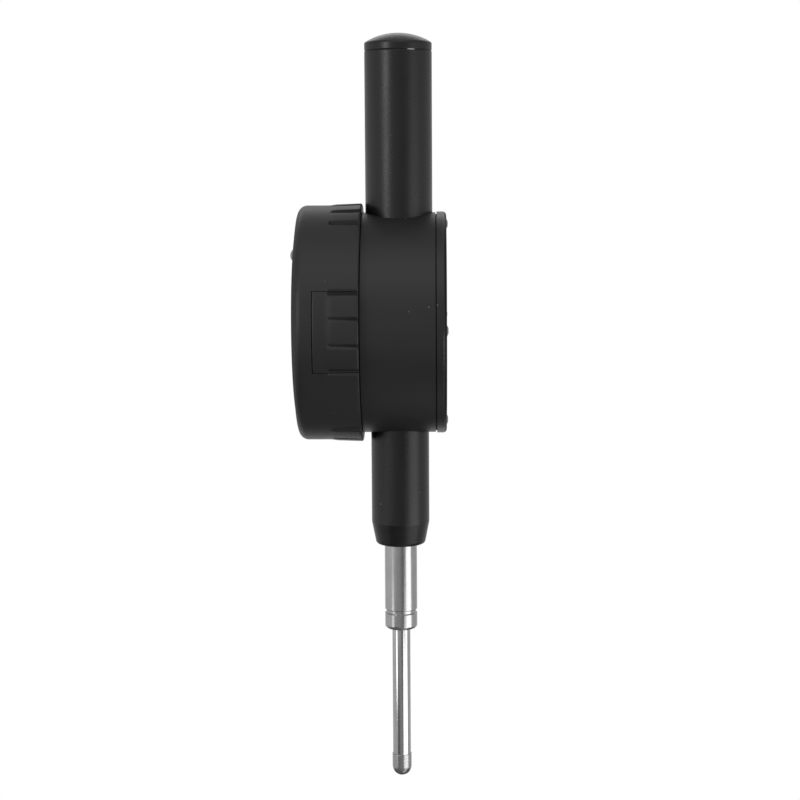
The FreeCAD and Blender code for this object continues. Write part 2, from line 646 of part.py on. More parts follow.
def grip_blank(count, centre_deg, inner):
    """Raised pad of a number of grip segments, centred at an angle."""
    ramp_y = GRIP_FRONT_Y + GRIP_RAMP
    front_r, back_r = BEZEL_R + GRIP_FRONT_RISE, BEZEL_R + GRIP_BACK_RISE
    profile = [(inner, GRIP_FRONT_Y), (BEZEL_R, GRIP_FRONT_Y), (front_r, ramp_y),
               (back_r, BEZEL_BACK_Y - BEZEL_REAR_EDGE), (back_r - BEZEL_REAR_EDGE, BEZEL_BACK_Y),
               (inner, BEZEL_BACK_Y)]
    span = count * GRIP_PITCH_DEG
    return turned_y(profile, span, centre_deg - span / 2)


def v_groove(width, depth, angle_deg):
    """Cutter for a groove along Y from the top of a pad's ramp to its back, with its point inwards."""
    top_r = BEZEL_R + GRIP_BACK_RISE
    wide = width / 2 * (depth + OVERCUT) / depth
    front_y = GRIP_FRONT_Y + GRIP_RAMP
    points = [V(top_r - depth, front_y, CASE_Z), V(top_r + OVERCUT, front_y, CASE_Z + wide),
              V(top_r + OVERCUT, front_y, CASE_Z - wide)]
    face = Part.Face(Part.makePolygon(points + points[:1]))
    return rotated_y(face.extrude(V(0, BEZEL_BACK_Y - front_y + SEAT_GAP, 0)), angle_deg)


def grip_grooves(count, centre_deg):
    """Grooves between the segments of a pad, and wider ones at its two ends."""
    first = centre_deg - count * GRIP_PITCH_DEG / 2
    cutters = []
    for i in range(count + 1):
        at_end = i in (0, count)
        width = GRIP_END_GROOVE if at_end else GRIP_GROOVE
        depth = GRIP_END_DEPTH if at_end else GRIP_GROOVE_DEPTH
        cutters.append(v_groove(width, depth, first + i * GRIP_PITCH_DEG))
    return cutters


def hatch_wedge(inner, outer, half_deg, front_y):
    """Curved block in the +X side of the head."""
    profile = [(inner, front_y), (outer, front_y), (outer, BEZEL_BACK_Y - BEZEL_REAR_EDGE),
               (outer - BEZEL_REAR_EDGE, BEZEL_BACK_Y), (inner, BEZEL_BACK_Y)]
    return turned_y(profile, 2 * half_deg, -half_deg)


def make_bezel_ring():
    """Body of the display head: a ring with a front ledge, screw posts, grip pads and a hatch opening."""
    ledge_r = PANEL_R - BEZEL_LEDGE_WIDTH
    ledge_back_y = BEZEL_LEDGE_Y + BEZEL_LEDGE_THICK
    seat_r = REAR_PLATE_R + SEAT_GAP
    body = turned_y([
        (PANEL_R + SEAT_GAP, BEZEL_FRONT_Y), (BEZEL_R, BEZEL_FRONT_Y),
        (BEZEL_R, BEZEL_BACK_Y - BEZEL_REAR_EDGE), (BEZEL_R - BEZEL_REAR_EDGE, BEZEL_BACK_Y),
        (seat_r, BEZEL_BACK_Y), (seat_r, REAR_PLATE_FRONT_Y), (BEZEL_BORE_R, REAR_PLATE_FRONT_Y),
        (BEZEL_BORE_R, ledge_back_y), (ledge_r, ledge_back_y), (ledge_r, BEZEL_LEDGE_Y),
        (PANEL_R + SEAT_GAP, BEZEL_LEDGE_Y)])
    corner = edges_where(body, lambda p: abs(p.y - BEZEL_FRONT_Y) < 1e-6 and radius_at(p) > BEZEL_R - 1e-3)
    body = body.makeFillet(BEZEL_CORNER, corner)
    posts = [disc_y(HEAD_POST_R, BEZEL_LEDGE_Y, BOARD_FRONT_Y, x, z) for x, z in head_screw_places()]
    pads = [grip_blank(count, centre, BEZEL_BORE_R + OVERCUT) for count, centre in BEZEL_PADS]
    within = disc_y(BEZEL_R - BEZEL_CORNER, BEZEL_LEDGE_Y, BOARD_FRONT_Y)
    body = body.fuse(pads + [p.common(within) for p in posts]).removeSplitter()
    cuts = [groove for count, centre in BEZEL_PADS for groove in grip_grooves(count, centre)]
    opening = turned_y([
        (BEZEL_BORE_R - OVERCUT, HATCH_FRONT_Y - LOOSE_FIT), (BEZEL_R + OVERCUT, HATCH_FRONT_Y - LOOSE_FIT),
        (BEZEL_R + OVERCUT, BEZEL_BACK_Y), (BEZEL_BORE_R - OVERCUT, BEZEL_BACK_Y)],
        2 * (HATCH_HALF_DEG + HATCH_GAP_DEG), -HATCH_HALF_DEG - HATCH_GAP_DEG)
    cuts.append(opening)
    cuts += [disc_y(HEAD_SCREW_R, BOARD_FRONT_Y - HEAD_SCREW_DEEP, BOARD_FRONT_Y, x, z)
             for x, z in head_screw_places()]
    return solid_of(body.cut(cuts))


def make_rear_plate():
    """Back of the display head, which turns on the spigot, with four long screw posts."""
    plate = ring_y(REAR_PLATE_R, SPIGOT_R + HEAD_FIT, REAR_PLATE_FRONT_Y, BEZEL_BACK_Y)
    posts = [disc_y(HEAD_POST_R, BOARD_BACK_Y, REAR_PLATE_FRONT_Y, x, z) for x, z in head_screw_places()]
    within = disc_y(BEZEL_BORE_R - SEAT_GAP, BOARD_BACK_Y, REAR_PLATE_FRONT_Y)
    plate = plate.fuse([p.common(within) for p in posts]).removeSplitter()
    cuts = [disc_y(HEAD_SCREW_R, BOARD_BACK_Y, BEZEL_BACK_Y, x, z) for x, z in head_screw_places()]
    cuts += [countersink(x, z) for x, z in head_screw_places()]
    pin_x, pin_z = stop_pin_place()
    cuts += [disc_y(STOP_PIN_RADIUS, REAR_PLATE_FRONT_Y, BEZEL_BACK_Y, pin_x, pin_z)]
    return solid_of(plate.cut(cuts))


def countersink(x, z):
    """Cone of a flat screw head in the rear plate's back face."""
    return Part.makeCone(HEAD_SCREW_R, HEAD_SCREW_HEAD_R, HEAD_SCREW_HEAD,
                         V(x, BEZEL_BACK_Y - HEAD_SCREW_HEAD, CASE_Z + z), V(0, 1, 0))


def make_head_screws():
    """Four long flat-head screws through the rear plate and the board."""
    screws = []
    for x, z in head_screw_places():
        shank = disc_y(HEAD_SCREW_R, BOARD_FRONT_Y - HEAD_SCREW_DEEP, BEZEL_BACK_Y - HEAD_SCREW_HEAD, x, z)
        screw = shank.fuse(countersink(x, z)).removeSplitter()
        screws.append(solid_of(screw))
    return Part.Compound(screws)


def stop_pin_place():
    return 0.0, -STOP_PIN_AT_R


def make_stop_pin():
    x, z = stop_pin_place()
    return disc_y(STOP_PIN_RADIUS, REAR_PLATE_FRONT_Y, BEZEL_BACK_Y + STOP_PIN_REACH, x, z)


def rounded_window(margin, y_low, y_high):
    """Display window with rounded corners, made smaller by a margin."""
    window = block((-WINDOW_HALF_X + margin, WINDOW_HALF_X - margin), (y_low, y_high),
                   (WINDOW_LOW_Z + margin, WINDOW_HIGH_Z - margin))
    middle_y = (y_low + y_high) / 2
    corners = [e for e in window.Edges if abs(e.CenterOfMass.y - middle_y) < 1e-6]
    return window.makeFillet(WINDOW_CORNER, corners)


def make_front_panel():
    """Front plate with the display window and three button holes."""
    panel = disc_y(PANEL_R, PANEL_FRONT_Y, BEZEL_LEDGE_Y)
    rim = edges_where(panel, lambda p: abs(p.y - PANEL_FRONT_Y) < 1e-6 and radius_at(p) > PANEL_R - 1e-3)
    panel = panel.makeFillet(PANEL_EDGE, rim)
    panel = panel.cut(rounded_window(0.0, PANEL_FRONT_Y, BEZEL_LEDGE_Y))
    holes = [disc_y(BUTTON_R + LOOSE_FIT, PANEL_FRONT_Y, BEZEL_LEDGE_Y, x, z)
             for x, z in button_places().values()]
    return solid_of(panel.cut(holes))


def make_lcd_window():
    return solid_of(rounded_window(HEAD_FIT, PANEL_FRONT_Y + HEAD_FIT, BEZEL_LEDGE_Y))


def make_lcd_module():
    """Display cell in its frame, with a shallow step round the glass."""
    frame = block((-LCD_HALF_X, LCD_HALF_X), (LCD_FRONT_Y, LCD_BACK_Y), (LCD_LOW_Z, LCD_HIGH_Z))
    glass = block((-WINDOW_HALF_X, WINDOW_HALF_X), (BEZEL_LEDGE_Y + SEAT_GAP / 2, LCD_FRONT_Y),
                  (WINDOW_LOW_Z - GLASS_BORDER, WINDOW_HIGH_Z + GLASS_BORDER))
    return solid_of(frame.fuse(glass).removeSplitter())


def make_zebra_strips():
    """Two contact strips between the display and its board."""
    strips = []
    for low in (LCD_LOW_Z, LCD_HIGH_Z - ZEBRA_WIDE):
        strips.append(block((-LCD_HALF_X + ZEBRA_INSET, LCD_HALF_X - ZEBRA_INSET),
                            (LCD_BACK_Y, BOARD_FRONT_Y), (low, low + ZEBRA_WIDE)))
    return Part.Compound(strips)


def make_display_board():
    """Round circuit board with screw holes and a moulded chip on its back."""
    board = disc_y(BOARD_R, BOARD_FRONT_Y, BOARD_BACK_Y)
    chip = disc_y(DISPLAY_CHIP_R, BOARD_BACK_Y, BOARD_BACK_Y + DISPLAY_CHIP_HEIGHT, *DISPLAY_CHIP_AT)
    holes = [disc_y(HEAD_SCREW_R, BOARD_FRONT_Y, BOARD_BACK_Y, x, z) for x, z in head_screw_places()]
    return solid_of(board.fuse(chip).removeSplitter().cut(holes))


def make_flex_socket():
    return block((-SOCKET_HALF_X, SOCKET_HALF_X), (BOARD_BACK_Y, BOARD_BACK_Y + SOCKET_DEEP),
                 (-SOCKET_HALF_Z, SOCKET_HALF_Z))


def make_button_mat():
    """Rubber mat behind the buttons, with a collar round each one."""
    back = BOARD_FRONT_Y
    front = back - MAT_THICK
    places = button_places().values()
    heights = [z for _, z in places]
    widths = [abs(x) for x, _ in places]
    reach = PANEL_R - BEZEL_LEDGE_WIDTH - SEAT_GAP
    mat = block((-max(widths) - MAT_MARGIN, max(widths) + MAT_MARGIN), (front, back),
                (min(heights) - MAT_MARGIN, max(heights) + MAT_MARGIN))
    mat = mat.common(disc_y(reach, front, back))
    for x, z in head_screw_places():
        mat = mat.cut(disc_y(HEAD_POST_R + LOOSE_FIT, front, back, x, z))
    for x, z in places:
        collar = disc_y(MAT_COLLAR_R, front - MAT_COLLAR, front, x, z)
        collar = collar.cut(disc_y(MAT_COLLAR_R - MAT_COLLAR_WALL, front - MAT_COLLAR, front, x, z))
        mat = mat.fuse(collar.common(disc_y(reach, front - MAT_COLLAR, front)))
    return solid_of(mat.removeSplitter())


def make_button(x, z):
    """Domed push button with a flange that keeps it behind the panel."""
    flange_y = BEZEL_LEDGE_Y + SEAT_GAP / 2
    stem_y = BOARD_FRONT_Y - MAT_THICK - BUTTON_TRAVEL - SEAT_GAP
    shank = disc_y(BUTTON_R, PANEL_FRONT_Y, flange_y, x, z)
    flange = disc_y(BUTTON_FLANGE_R, flange_y, flange_y + BUTTON_FLANGE, x, z)
    stem = disc_y(BUTTON_STEM_R, flange_y + BUTTON_FLANGE, stem_y, x, z)
    dome_r = (BUTTON_R ** 2 + BUTTON_PROUD ** 2) / (2 * BUTTON_PROUD)
    ball = Part.makeSphere(dome_r, V(x, PANEL_FRONT_Y - BUTTON_PROUD + dome_r, CASE_Z + z))
    dome = ball.common(disc_y(BUTTON_R, PANEL_FRONT_Y - BUTTON_PROUD, PANEL_FRONT_Y, x, z))
    return solid_of(shank.fuse([flange, stem, dome]).removeSplitter())


def make_battery_drawer():
    """Curved hatch with grip segments and a forked tray that holds the coin cell."""
    inner = REAR_PLATE_R + SEAT_GAP
    hatch = hatch_wedge(inner, BEZEL_R, HATCH_HALF_DEG, HATCH_FRONT_Y)
    pad = grip_blank(GRIP_SIDE_COUNT, 0.0, inner + TRAY_ROOT)
    tray = block((TRAY_INNER_X, BEZEL_R), (CELL_FRONT_Y, CELL_FRONT_Y + CELL_THICK + TRAY_FLOOR),
                 (-TRAY_HALF_Z, TRAY_HALF_Z))
    tray = tray.common(disc_y(inner + TRAY_ROOT, HATCH_FRONT_Y, BEZEL_BACK_Y))
    within = turned_y([(inner, HATCH_FRONT_Y), (BEZEL_R + OVERCUT, HATCH_FRONT_Y),
                       (BEZEL_R + OVERCUT, BEZEL_BACK_Y), (inner, BEZEL_BACK_Y)],
                      2 * HATCH_HALF_DEG, -HATCH_HALF_DEG)
    body = hatch.fuse([pad.common(within), tray])
    pocket = disc_y(CELL_R + SEAT_GAP, CELL_FRONT_Y, CELL_FRONT_Y + CELL_THICK, CELL_X)
    return solid_of(body.removeSplitter().cut([pocket] + grip_grooves(GRIP_SIDE_COUNT, 0.0)))


def make_coin_cell():
    """Coin cell with its rounded can edge and stepped front."""
    back = CELL_FRONT_Y + CELL_THICK
    can = disc_y(CELL_R, CELL_FRONT_Y + CELL_STEP, back, CELL_X)
    rim = edges_where(can, lambda p: abs(p.y - back) < 1e-6)
    can = can.makeFillet(CELL_EDGE, rim)
    step = disc_y(CELL_R - CELL_STEP_IN, CELL_FRONT_Y, CELL_FRONT_Y + CELL_STEP, CELL_X)
    return solid_of(can.fuse(step).removeSplitter())


def tray_clear_half_z():
    return TRAY_HALF_Z + LOOSE_FIT


def make_battery_bay():
    """Open-ended holder that the drawer slides in, carried by two rails on the board."""
    back = CELL_FRONT_Y + CELL_THICK + TRAY_FLOOR + LOOSE_FIT
    half = tray_clear_half_z() + BAY_WALL
    shell = block((BAY_INNER_X, BAY_OUTER_X), (BAY_FRONT_Y, back + BAY_WALL), (-half, half))
    cavity = block((BAY_INNER_X + BAY_WALL, BAY_OUTER_X), (BAY_FRONT_Y + BAY_WALL, back),
                   (-tray_clear_half_z(), tray_clear_half_z()))
    rails = [block((BAY_INNER_X, BAY_OUTER_X), (BOARD_BACK_Y, BAY_FRONT_Y),
                   (side - BAY_RAIL_HALF, side + BAY_RAIL_HALF))
             for side in (-half + BAY_RAIL_HALF, half - BAY_RAIL_HALF)]
    bay = shell.cut(cavity).fuse(rails).removeSplitter()
    return solid_of(bay.common(disc_y(BEZEL_BORE_R - SEAT_GAP, BOARD_BACK_Y, BEZEL_BACK_Y)))


def make_battery_contact_minus():
    """Bowed leaf in front of the cell's centre."""
    wall = BAY_FRONT_Y + BAY_WALL
    bow = CELL_FRONT_Y - HEAD_FIT
    low_z = CASE_Z - LEAF_HALF_Z
    foot = 2 * CONTACT_STRIP
    outer = [V(CELL_X - LEAF_HALF_X, wall, low_z), V(CELL_X, bow, low_z),
             V(CELL_X + LEAF_HALF_X, wall, low_z)]
    inner = [outer[2] - V(foot, 0, 0), V(CELL_X, bow - CONTACT_STRIP, low_z), outer[0] + V(foot, 0, 0)]
    edges = [Part.Arc(*outer).toShape(), Part.makeLine(outer[2], inner[0]), Part.Arc(*inner).toShape(),
             Part.makeLine(inner[2], outer[0])]
    return solid_of(Part.Face(Part.Wire(edges)).extrude(V(0, 0, 2 * LEAF_HALF_Z)))


def make_battery_contact_plus():
    """Upright leaf that touches the rim of the cell at the inner end of the bay."""
    inner = BAY_INNER_X + BAY_WALL
    back = CELL_FRONT_Y + CELL_THICK
    return block((inner, CELL_X - CELL_R - HEAD_FIT), (CELL_FRONT_Y + LEAF_CLEAR_Y, back - LEAF_CLEAR_Y),
                 (-LEAF_HALF_Z, LEAF_HALF_Z))


BUILDERS = {
    "case": make_case,
    "back_cover": make_back_cover,
    "cover_gasket": make_cover_gasket,
    "cover_screws": make_cover_screws,
    "top_tube": make_top_tube,
    "tube_cap": make_tube_cap,
    "upper_bush": make_upper_bush,
    "stop_buffer": make_stop_buffer,
    "return_spring": make_return_spring,
    "stem_sleeve": make_stem_sleeve,
    "stem": make_stem,
    "lower_bush": make_lower_bush,
    "wiper_seal": make_wiper_seal,
    "guide_rod": make_guide_rod,
    "sensor_board": make_sensor_board,
    "sensor_screws": make_sensor_screws,
    "flex_cable": make_flex_cable,
    "head_retaining_ring": make_head_retaining_ring,
    "friction_ring": make_friction_ring,
    "spindle": make_spindle,
    "spindle_collar": make_spindle_collar,
    "contact_point": make_contact_point,
    "scale_carrier": make_scale_carrier,
    "carrier_screw": make_carrier_screw,
    "scale_strip": make_scale_strip,
    "bezel_ring": make_bezel_ring,
    "rear_plate": make_rear_plate,
    "head_screws": make_head_screws,
    "stop_pin": make_stop_pin,
    "front_panel": make_front_panel,
    "lcd_window": make_lcd_window,
    "lcd_module": make_lcd_module,
    "zebra_strips": make_zebra_strips,
    "display_board": make_display_board,
    "flex_socket": make_flex_socket,
    "button_mat": make_button_mat,
    "battery_bay": make_battery_bay,
    "battery_contact_minus": make_battery_contact_minus,
    "battery_contact_plus": make_battery_contact_plus,
    "battery_drawer": make_battery_drawer,
    "coin_cell": make_coin_cell,
}


def main():
    os.makedirs("parts", exist_ok=True)
    shapes = {name: build() for name, build in BUILDERS.items()}
    for name, (x, z) in button_places().items():
        shapes[name] = make_button(x, z)
    for name, shape in shapes.items():
        shape.exportStep(f"parts/{name}.step")
        print(f"{name:24s} solids {len(shape.Solids)}  volume {shape.Volume:10.2f}  valid {shape.isValid()}")


main()
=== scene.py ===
"""Looks of the digital indicator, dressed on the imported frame.

Sizes in the dataclasses are millimetres, as on a drawing; MM turns them into Blender's metres.
The spindle runs along Z, the display faces -Y and the battery drawer is on the +X side.
"""

import json
import logging
import math
from dataclasses import dataclass, field
from enum import Enum
from itertools import product
from typing import Callable, Iterable, Sequence

import bmesh
import bpy
from mathutils import Matrix, Vector


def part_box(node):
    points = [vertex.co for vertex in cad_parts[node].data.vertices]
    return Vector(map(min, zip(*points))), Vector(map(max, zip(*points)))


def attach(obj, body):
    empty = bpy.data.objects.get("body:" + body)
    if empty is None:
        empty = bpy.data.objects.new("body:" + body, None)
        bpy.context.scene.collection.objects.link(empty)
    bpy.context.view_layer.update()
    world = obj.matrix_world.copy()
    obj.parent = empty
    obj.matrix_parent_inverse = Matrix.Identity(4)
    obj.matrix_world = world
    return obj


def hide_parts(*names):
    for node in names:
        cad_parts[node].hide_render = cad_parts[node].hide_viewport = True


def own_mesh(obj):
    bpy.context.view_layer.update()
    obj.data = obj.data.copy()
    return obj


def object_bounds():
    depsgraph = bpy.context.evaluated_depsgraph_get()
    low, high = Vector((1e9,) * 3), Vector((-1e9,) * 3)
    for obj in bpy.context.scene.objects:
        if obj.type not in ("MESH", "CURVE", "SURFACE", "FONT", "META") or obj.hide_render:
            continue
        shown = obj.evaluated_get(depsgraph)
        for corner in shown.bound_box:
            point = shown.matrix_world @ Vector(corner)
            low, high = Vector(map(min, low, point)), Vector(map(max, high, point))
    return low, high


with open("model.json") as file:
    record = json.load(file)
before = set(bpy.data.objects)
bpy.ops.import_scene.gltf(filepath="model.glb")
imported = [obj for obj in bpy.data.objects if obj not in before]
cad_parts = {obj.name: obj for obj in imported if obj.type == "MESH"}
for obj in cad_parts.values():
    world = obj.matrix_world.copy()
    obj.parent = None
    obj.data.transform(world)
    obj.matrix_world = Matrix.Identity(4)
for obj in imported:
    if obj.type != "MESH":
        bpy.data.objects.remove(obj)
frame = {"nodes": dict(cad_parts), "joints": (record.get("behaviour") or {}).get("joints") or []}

MM = 0.001
# Point attribute with the painted shade in the top pad's grooves.
GROOVE_SHADE = "groove_painted_shade"
UNIT, FALL = (0.0, 1.0), (1.0, 0.0)
log = logging.getLogger("indicator")
CAD_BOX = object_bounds()
JOINTS = {joint["name"]: joint for joint in frame["joints"]}
CASE_Z = JOINTS["head_turn"]["pos_m"][2] / MM

Point2 = tuple[float, float]
Triple = tuple[float, float, float]
Outline = Sequence[Triple]
Piece = bpy.types.Object
Finish = bpy.types.Material
Socket = bpy.types.NodeSocket


class Turn(Enum):
    """Axis that a round piece is turned about."""

    SPINDLE = "spindle"
    HEAD = "head"


@dataclass(frozen=True)
class Box:
    """Space that one CAD node takes, in millimetres."""

    low: Vector
    high: Vector

    @classmethod
    def of(cls, node: str) -> "Box":
        """Read a node's box from the frame.

        Args:
            node: name of the CAD node.

        Returns:
            The node's box in millimetres.
        """
        low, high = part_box(node)
        return cls(low / MM, high / MM)

    @property
    def size(self) -> Vector:
        """Length of each side."""
        return self.high - self.low


def add_node(tree: bpy.types.NodeTree, kind: str, inputs: dict | None = None,
             **settings: object) -> bpy.types.Node:
    """Add a node to a tree.

    Args:
        tree: the tree.
        kind: Blender's type name of the node.
        inputs: values or sockets for its inputs, by name or number.
        settings: the node's own properties.

    Returns:
        The new node.
    """
    node = tree.nodes.new(kind)
    for key, value in settings.items():
        setattr(node, key, value)
    for key, value in (inputs or {}).items():
        if isinstance(value, Socket):
            tree.links.new(value, node.inputs[key])
        else:
            node.inputs[key].default_value = value
    return node


def mixed(tree: bpy.types.NodeTree, share: Socket | float, first: Socket | Triple,
          second: Socket | Triple, how: str = "MIX") -> Socket:
    """Mix two colours in a node tree.

    Args:
        tree: the tree.
        share: 0 gives the first colour, 1 the second.
        first: colour, or a socket with one.
        second: colour, or a socket with one.
        how: way of mixing.

    Returns:
        The mixed colour.
    """
    low, high = (value if isinstance(value, Socket) else (*value, 1.0) for value in (first, second))
    node = add_node(tree, "ShaderNodeMix", {"Factor": share, 6: low, 7: high},
                    data_type="RGBA", blend_type=how)
    return node.outputs[2]


class Graph:
    """Node tree of one material, with short calls for what the finishes share."""

    def __init__(self, name: str) -> None:
        """Start a material with one shader.

        Args:
            name: the material's name.
        """
        self.material = bpy.data.materials.new(name)
        self.material.use_nodes = True
        self.tree = self.material.node_tree
        self.tree.nodes.clear()
        self.shader = self.tree.nodes.new("ShaderNodeBsdfPrincipled")
        out = self.tree.nodes.new("ShaderNodeOutputMaterial")
        self.tree.links.new(self.shader.outputs["BSDF"], out.inputs["Surface"])
        self.place = self.tree.nodes.new("ShaderNodeTexCoord").outputs["Object"]

    def add(self, kind: str, inputs: dict | None = None, **settings: object) -> bpy.types.Node:
        """Add a node, with the arguments of add_node."""
        return add_node(self.tree, kind, inputs, **settings)

    def calc(self, operation: str, first: Socket, second: Socket | float = 0.0) -> Socket:
        """Result of one step of arithmetic."""
        return self.add("ShaderNodeMath", {0: first, 1: second}, operation=operation).outputs[0]

    def stretched(self, scale: Triple) -> Socket:
        """Object coordinates with a scale along each axis."""
        return self.add("ShaderNodeVectorMath", {0: self.place, 1: scale}, operation="MULTIPLY").outputs[0]

    def noise(self, size: float, detail: float = 3.0, rough: float = 0.5,
              at: Socket | None = None) -> Socket:
        """Soft noise.

        Args:
            size: size of its features, in metres.
            detail: number of finer layers.
            rough: strength of the finer layers.
            at: coordinates, or None for the object's own.

        Returns:
            Noise from 0 to 1.
        """
        made = self.add("ShaderNodeTexNoise", {"Vector": at or self.place, "Scale": 1.0 / size,
                                               "Detail": detail, "Roughness": rough})
        return made.outputs["Fac"]

    def specks(self, size: float, share: float, spot: Point2 = (0.04, 0.09)) -> Socket:
        """Small scattered spots.

        Args:
            size: spacing of the cells that may hold a spot, in metres.
            share: share of the cells that hold one.
            spot: inner and outer radius of a spot, as shares of the spacing.

        Returns:
            1 in a spot and 0 beside it.
        """
        cells = self.add("ShaderNodeTexVoronoi", {"Vector": self.place, "Scale": 1.0 / size,
                                                  "Randomness": 1.0})
        chance = self.add("ShaderNodeSeparateColor", {0: cells.outputs["Color"]}).outputs[0]
        near = self.remap(cells.outputs["Distance"], spot, FALL)
        return self.product(self.calc("LESS_THAN", chance, share), near)

    def remap(self, value: Socket, source: Point2, target: Point2) -> Socket:
        """Map one range to another, clamped.

        Args:
            value: number to map.
            source: range that it comes in.
            target: range that it leaves in.

        Returns:
            The mapped number.
        """
        made = self.add("ShaderNodeMapRange", {"Value": value, "From Min": source[0], "From Max": source[1],
                                               "To Min": target[0], "To Max": target[1]}, clamp=True)
        return made.outputs["Result"]

    def blend(self, share: Socket, first: Socket | Triple, second: Socket | Triple) -> Socket:
        """Mix two colours by a share."""
        return mixed(self.tree, share, first, second)

    def product(self, first: Socket, second: Socket | float) -> Socket:
        """Multiply two numbers."""
        return self.calc("MULTIPLY", first, second)

    def total(self, first: Socket, second: Socket | float) -> Socket:
        """Add two numbers."""
        return self.calc("ADD", first, second)

    def around(self, value: Socket, middle: float, spread: float, low: float = 0.3,
               high: float = 0.7) -> Socket:
        """Map a pattern to a number that varies round a middle.

        Args:
            value: the pattern.
            middle: the middle.
            spread: how far the result goes to each side.
            low: pattern's value at the lower end.
            high: pattern's value at the upper end.

        Returns:
            The mapped number.
        """
        return self.remap(value, (low, high), (middle - spread, middle + spread))

    def bump(self, height: Socket, depth: float) -> None:
        """Raise the surface by a pattern.

        Args:
            height: pattern from 0 to 1.
            depth: height of its highest places, in metres.
        """
        made = self.add("ShaderNodeBump", {"Height": height, "Distance": depth, "Strength": 1.0})
        self.tree.links.new(made.outputs["Normal"], self.shader.inputs["Normal"])

    def wire(self, name: str, value: Socket) -> None:
        """Join a pattern to one of the shader's inputs."""
        self.tree.links.new(value, self.shader.inputs[name])

    def fix(self, **values: float | tuple[float, ...]) -> None:
        """Set constants on the shader's own sockets; an underscore in a name stands for a space."""
        for key, value in values.items():
            self.shader.inputs[key.replace("_", " ")].default_value = value


@dataclass(frozen=True)
class SatinCoat:
    """Black coat of the case, head, tube and sleeve: fine grain, faint cloudiness and sparse light dust."""

    name: str
    tone: Triple = (0.0130, 0.0130, 0.0140)
    roughness: float = 0.42
    spread: float = 0.06
    grain: float = 0.00022
    depth: float = 0.000004
    wave: float = 0.0009
    wave_depth: float = 0.000004
    dust_spacing: float = 0.0026
    dust_share: float = 0.12
    flake_spacing: float = 0.0005
    flake_share: float = 0.0
    flake_rough: float = 0.07
    flake_depth: float = 0.000010
    specular: float = 0.5
    dark_y: Point2 | None = None
    # Strength of the painted shade in the pad grooves, read from the groove attribute.
    groove_shade: float = 0.0
    lighten: float = 1.45
    dust_tone: Triple = (0.16, 0.16, 0.15)
    # Colour of the painted groove shade.
    groove_shade_tone: Triple = (0.001, 0.001, 0.001)

    def make(self) -> Finish:
        """Build the material.

        Returns:
            The finished material.
        """
        g = Graph(self.name)
        cloud = g.noise(0.009, 4.0, 0.6)
        tinted = g.blend(cloud, self.tone, tuple(c * self.lighten for c in self.tone))
        clean = g.blend(g.specks(self.dust_spacing, self.dust_share), tinted, self.dust_tone)
        g.wire("Base Color", clean)
        fine = g.noise(self.grain, 2.0, 0.6)
        peel = g.product(g.noise(self.wave, 1.0, 0.4), self.wave_depth / self.depth)
        height = g.total(fine, peel)
        pattern = g.total(g.product(fine, 0.5), g.product(cloud, 0.5))
        rough = g.around(pattern, self.roughness, self.spread, 0.25, 0.75)
        if self.flake_share:
            flakes = g.specks(self.flake_spacing, self.flake_share, (0.18, 0.32))
            beside = g.product(rough, g.remap(flakes, UNIT, FALL))
            rough = g.total(beside, g.product(flakes, self.flake_rough))
            height = g.total(height, g.product(flakes, self.flake_depth / self.depth))
        g.wire("Roughness", rough)
        g.bump(height, self.depth)
        if self.dark_y is None:
            g.fix(Specular_IOR_Level=self.specular)
        else:
            along = g.add("ShaderNodeSeparateXYZ", {0: g.place}).outputs["Y"]
            shine = g.remap(along, self.dark_y, (self.specular, self.specular * 0.1))
            # Painted shade: in the grooves the colour goes towards a near-black tone and the specular drops.
            if self.groove_shade:
                groove_shade = g.add("ShaderNodeAttribute", attribute_name=GROOVE_SHADE).outputs["Fac"]
                shine = g.product(shine, g.remap(groove_shade, UNIT, (1.0, 1.0 - self.groove_shade)))
                g.wire("Base Color", g.blend(g.remap(groove_shade, UNIT, (0.0, self.groove_shade)), clean, self.groove_shade_tone))
            g.wire("Specular IOR Level", shine)
        return g.material


@dataclass(frozen=True)
class SeamShadeGlint:
    """Seam land painted near-black as shade in the groove under the cap, with one painted glint: a bright
    patch where the right soft boxes would reflect.
    """

    name: str
    # Angles of the painted glint, from +X.
    glint_from_deg: float = 19.0
    glint_to_deg: float = 34.0
    edge_deg: float = 2.0
    ragged_deg: float = 5.0
    # Painted shade of the groove, and the painted glint's colour.
    seam_shade_tone: Triple = (0.004, 0.004, 0.004)
    glint_tone: Triple = (0.95, 0.95, 0.95)

    def make(self) -> Finish:
        """Build the material.

        Returns:
            The finished material.
        """
        g = Graph(self.name)
        parts = g.add("ShaderNodeSeparateXYZ", {0: g.place})
        ragged = g.product(g.noise(0.0012, 3.0, 0.6), math.radians(self.ragged_deg))
        turn = g.total(g.calc("ARCTAN2", parts.outputs["Y"], parts.outputs["X"]), ragged)
        low, high = math.radians(self.glint_from_deg), math.radians(self.glint_to_deg)
        edge = math.radians(self.edge_deg)
        # Painted glint: a bright patch between these angles with a ragged edge; the rest of the land is
        # painted shade.
        glint = g.product(g.remap(turn, (low, low + edge), UNIT), g.remap(turn, (high - edge, high), FALL))
        g.wire("Base Color", g.blend(glint, self.seam_shade_tone, self.glint_tone))
        g.wire("Roughness", g.remap(glint, UNIT, (0.6, 0.4)))
        return g.material


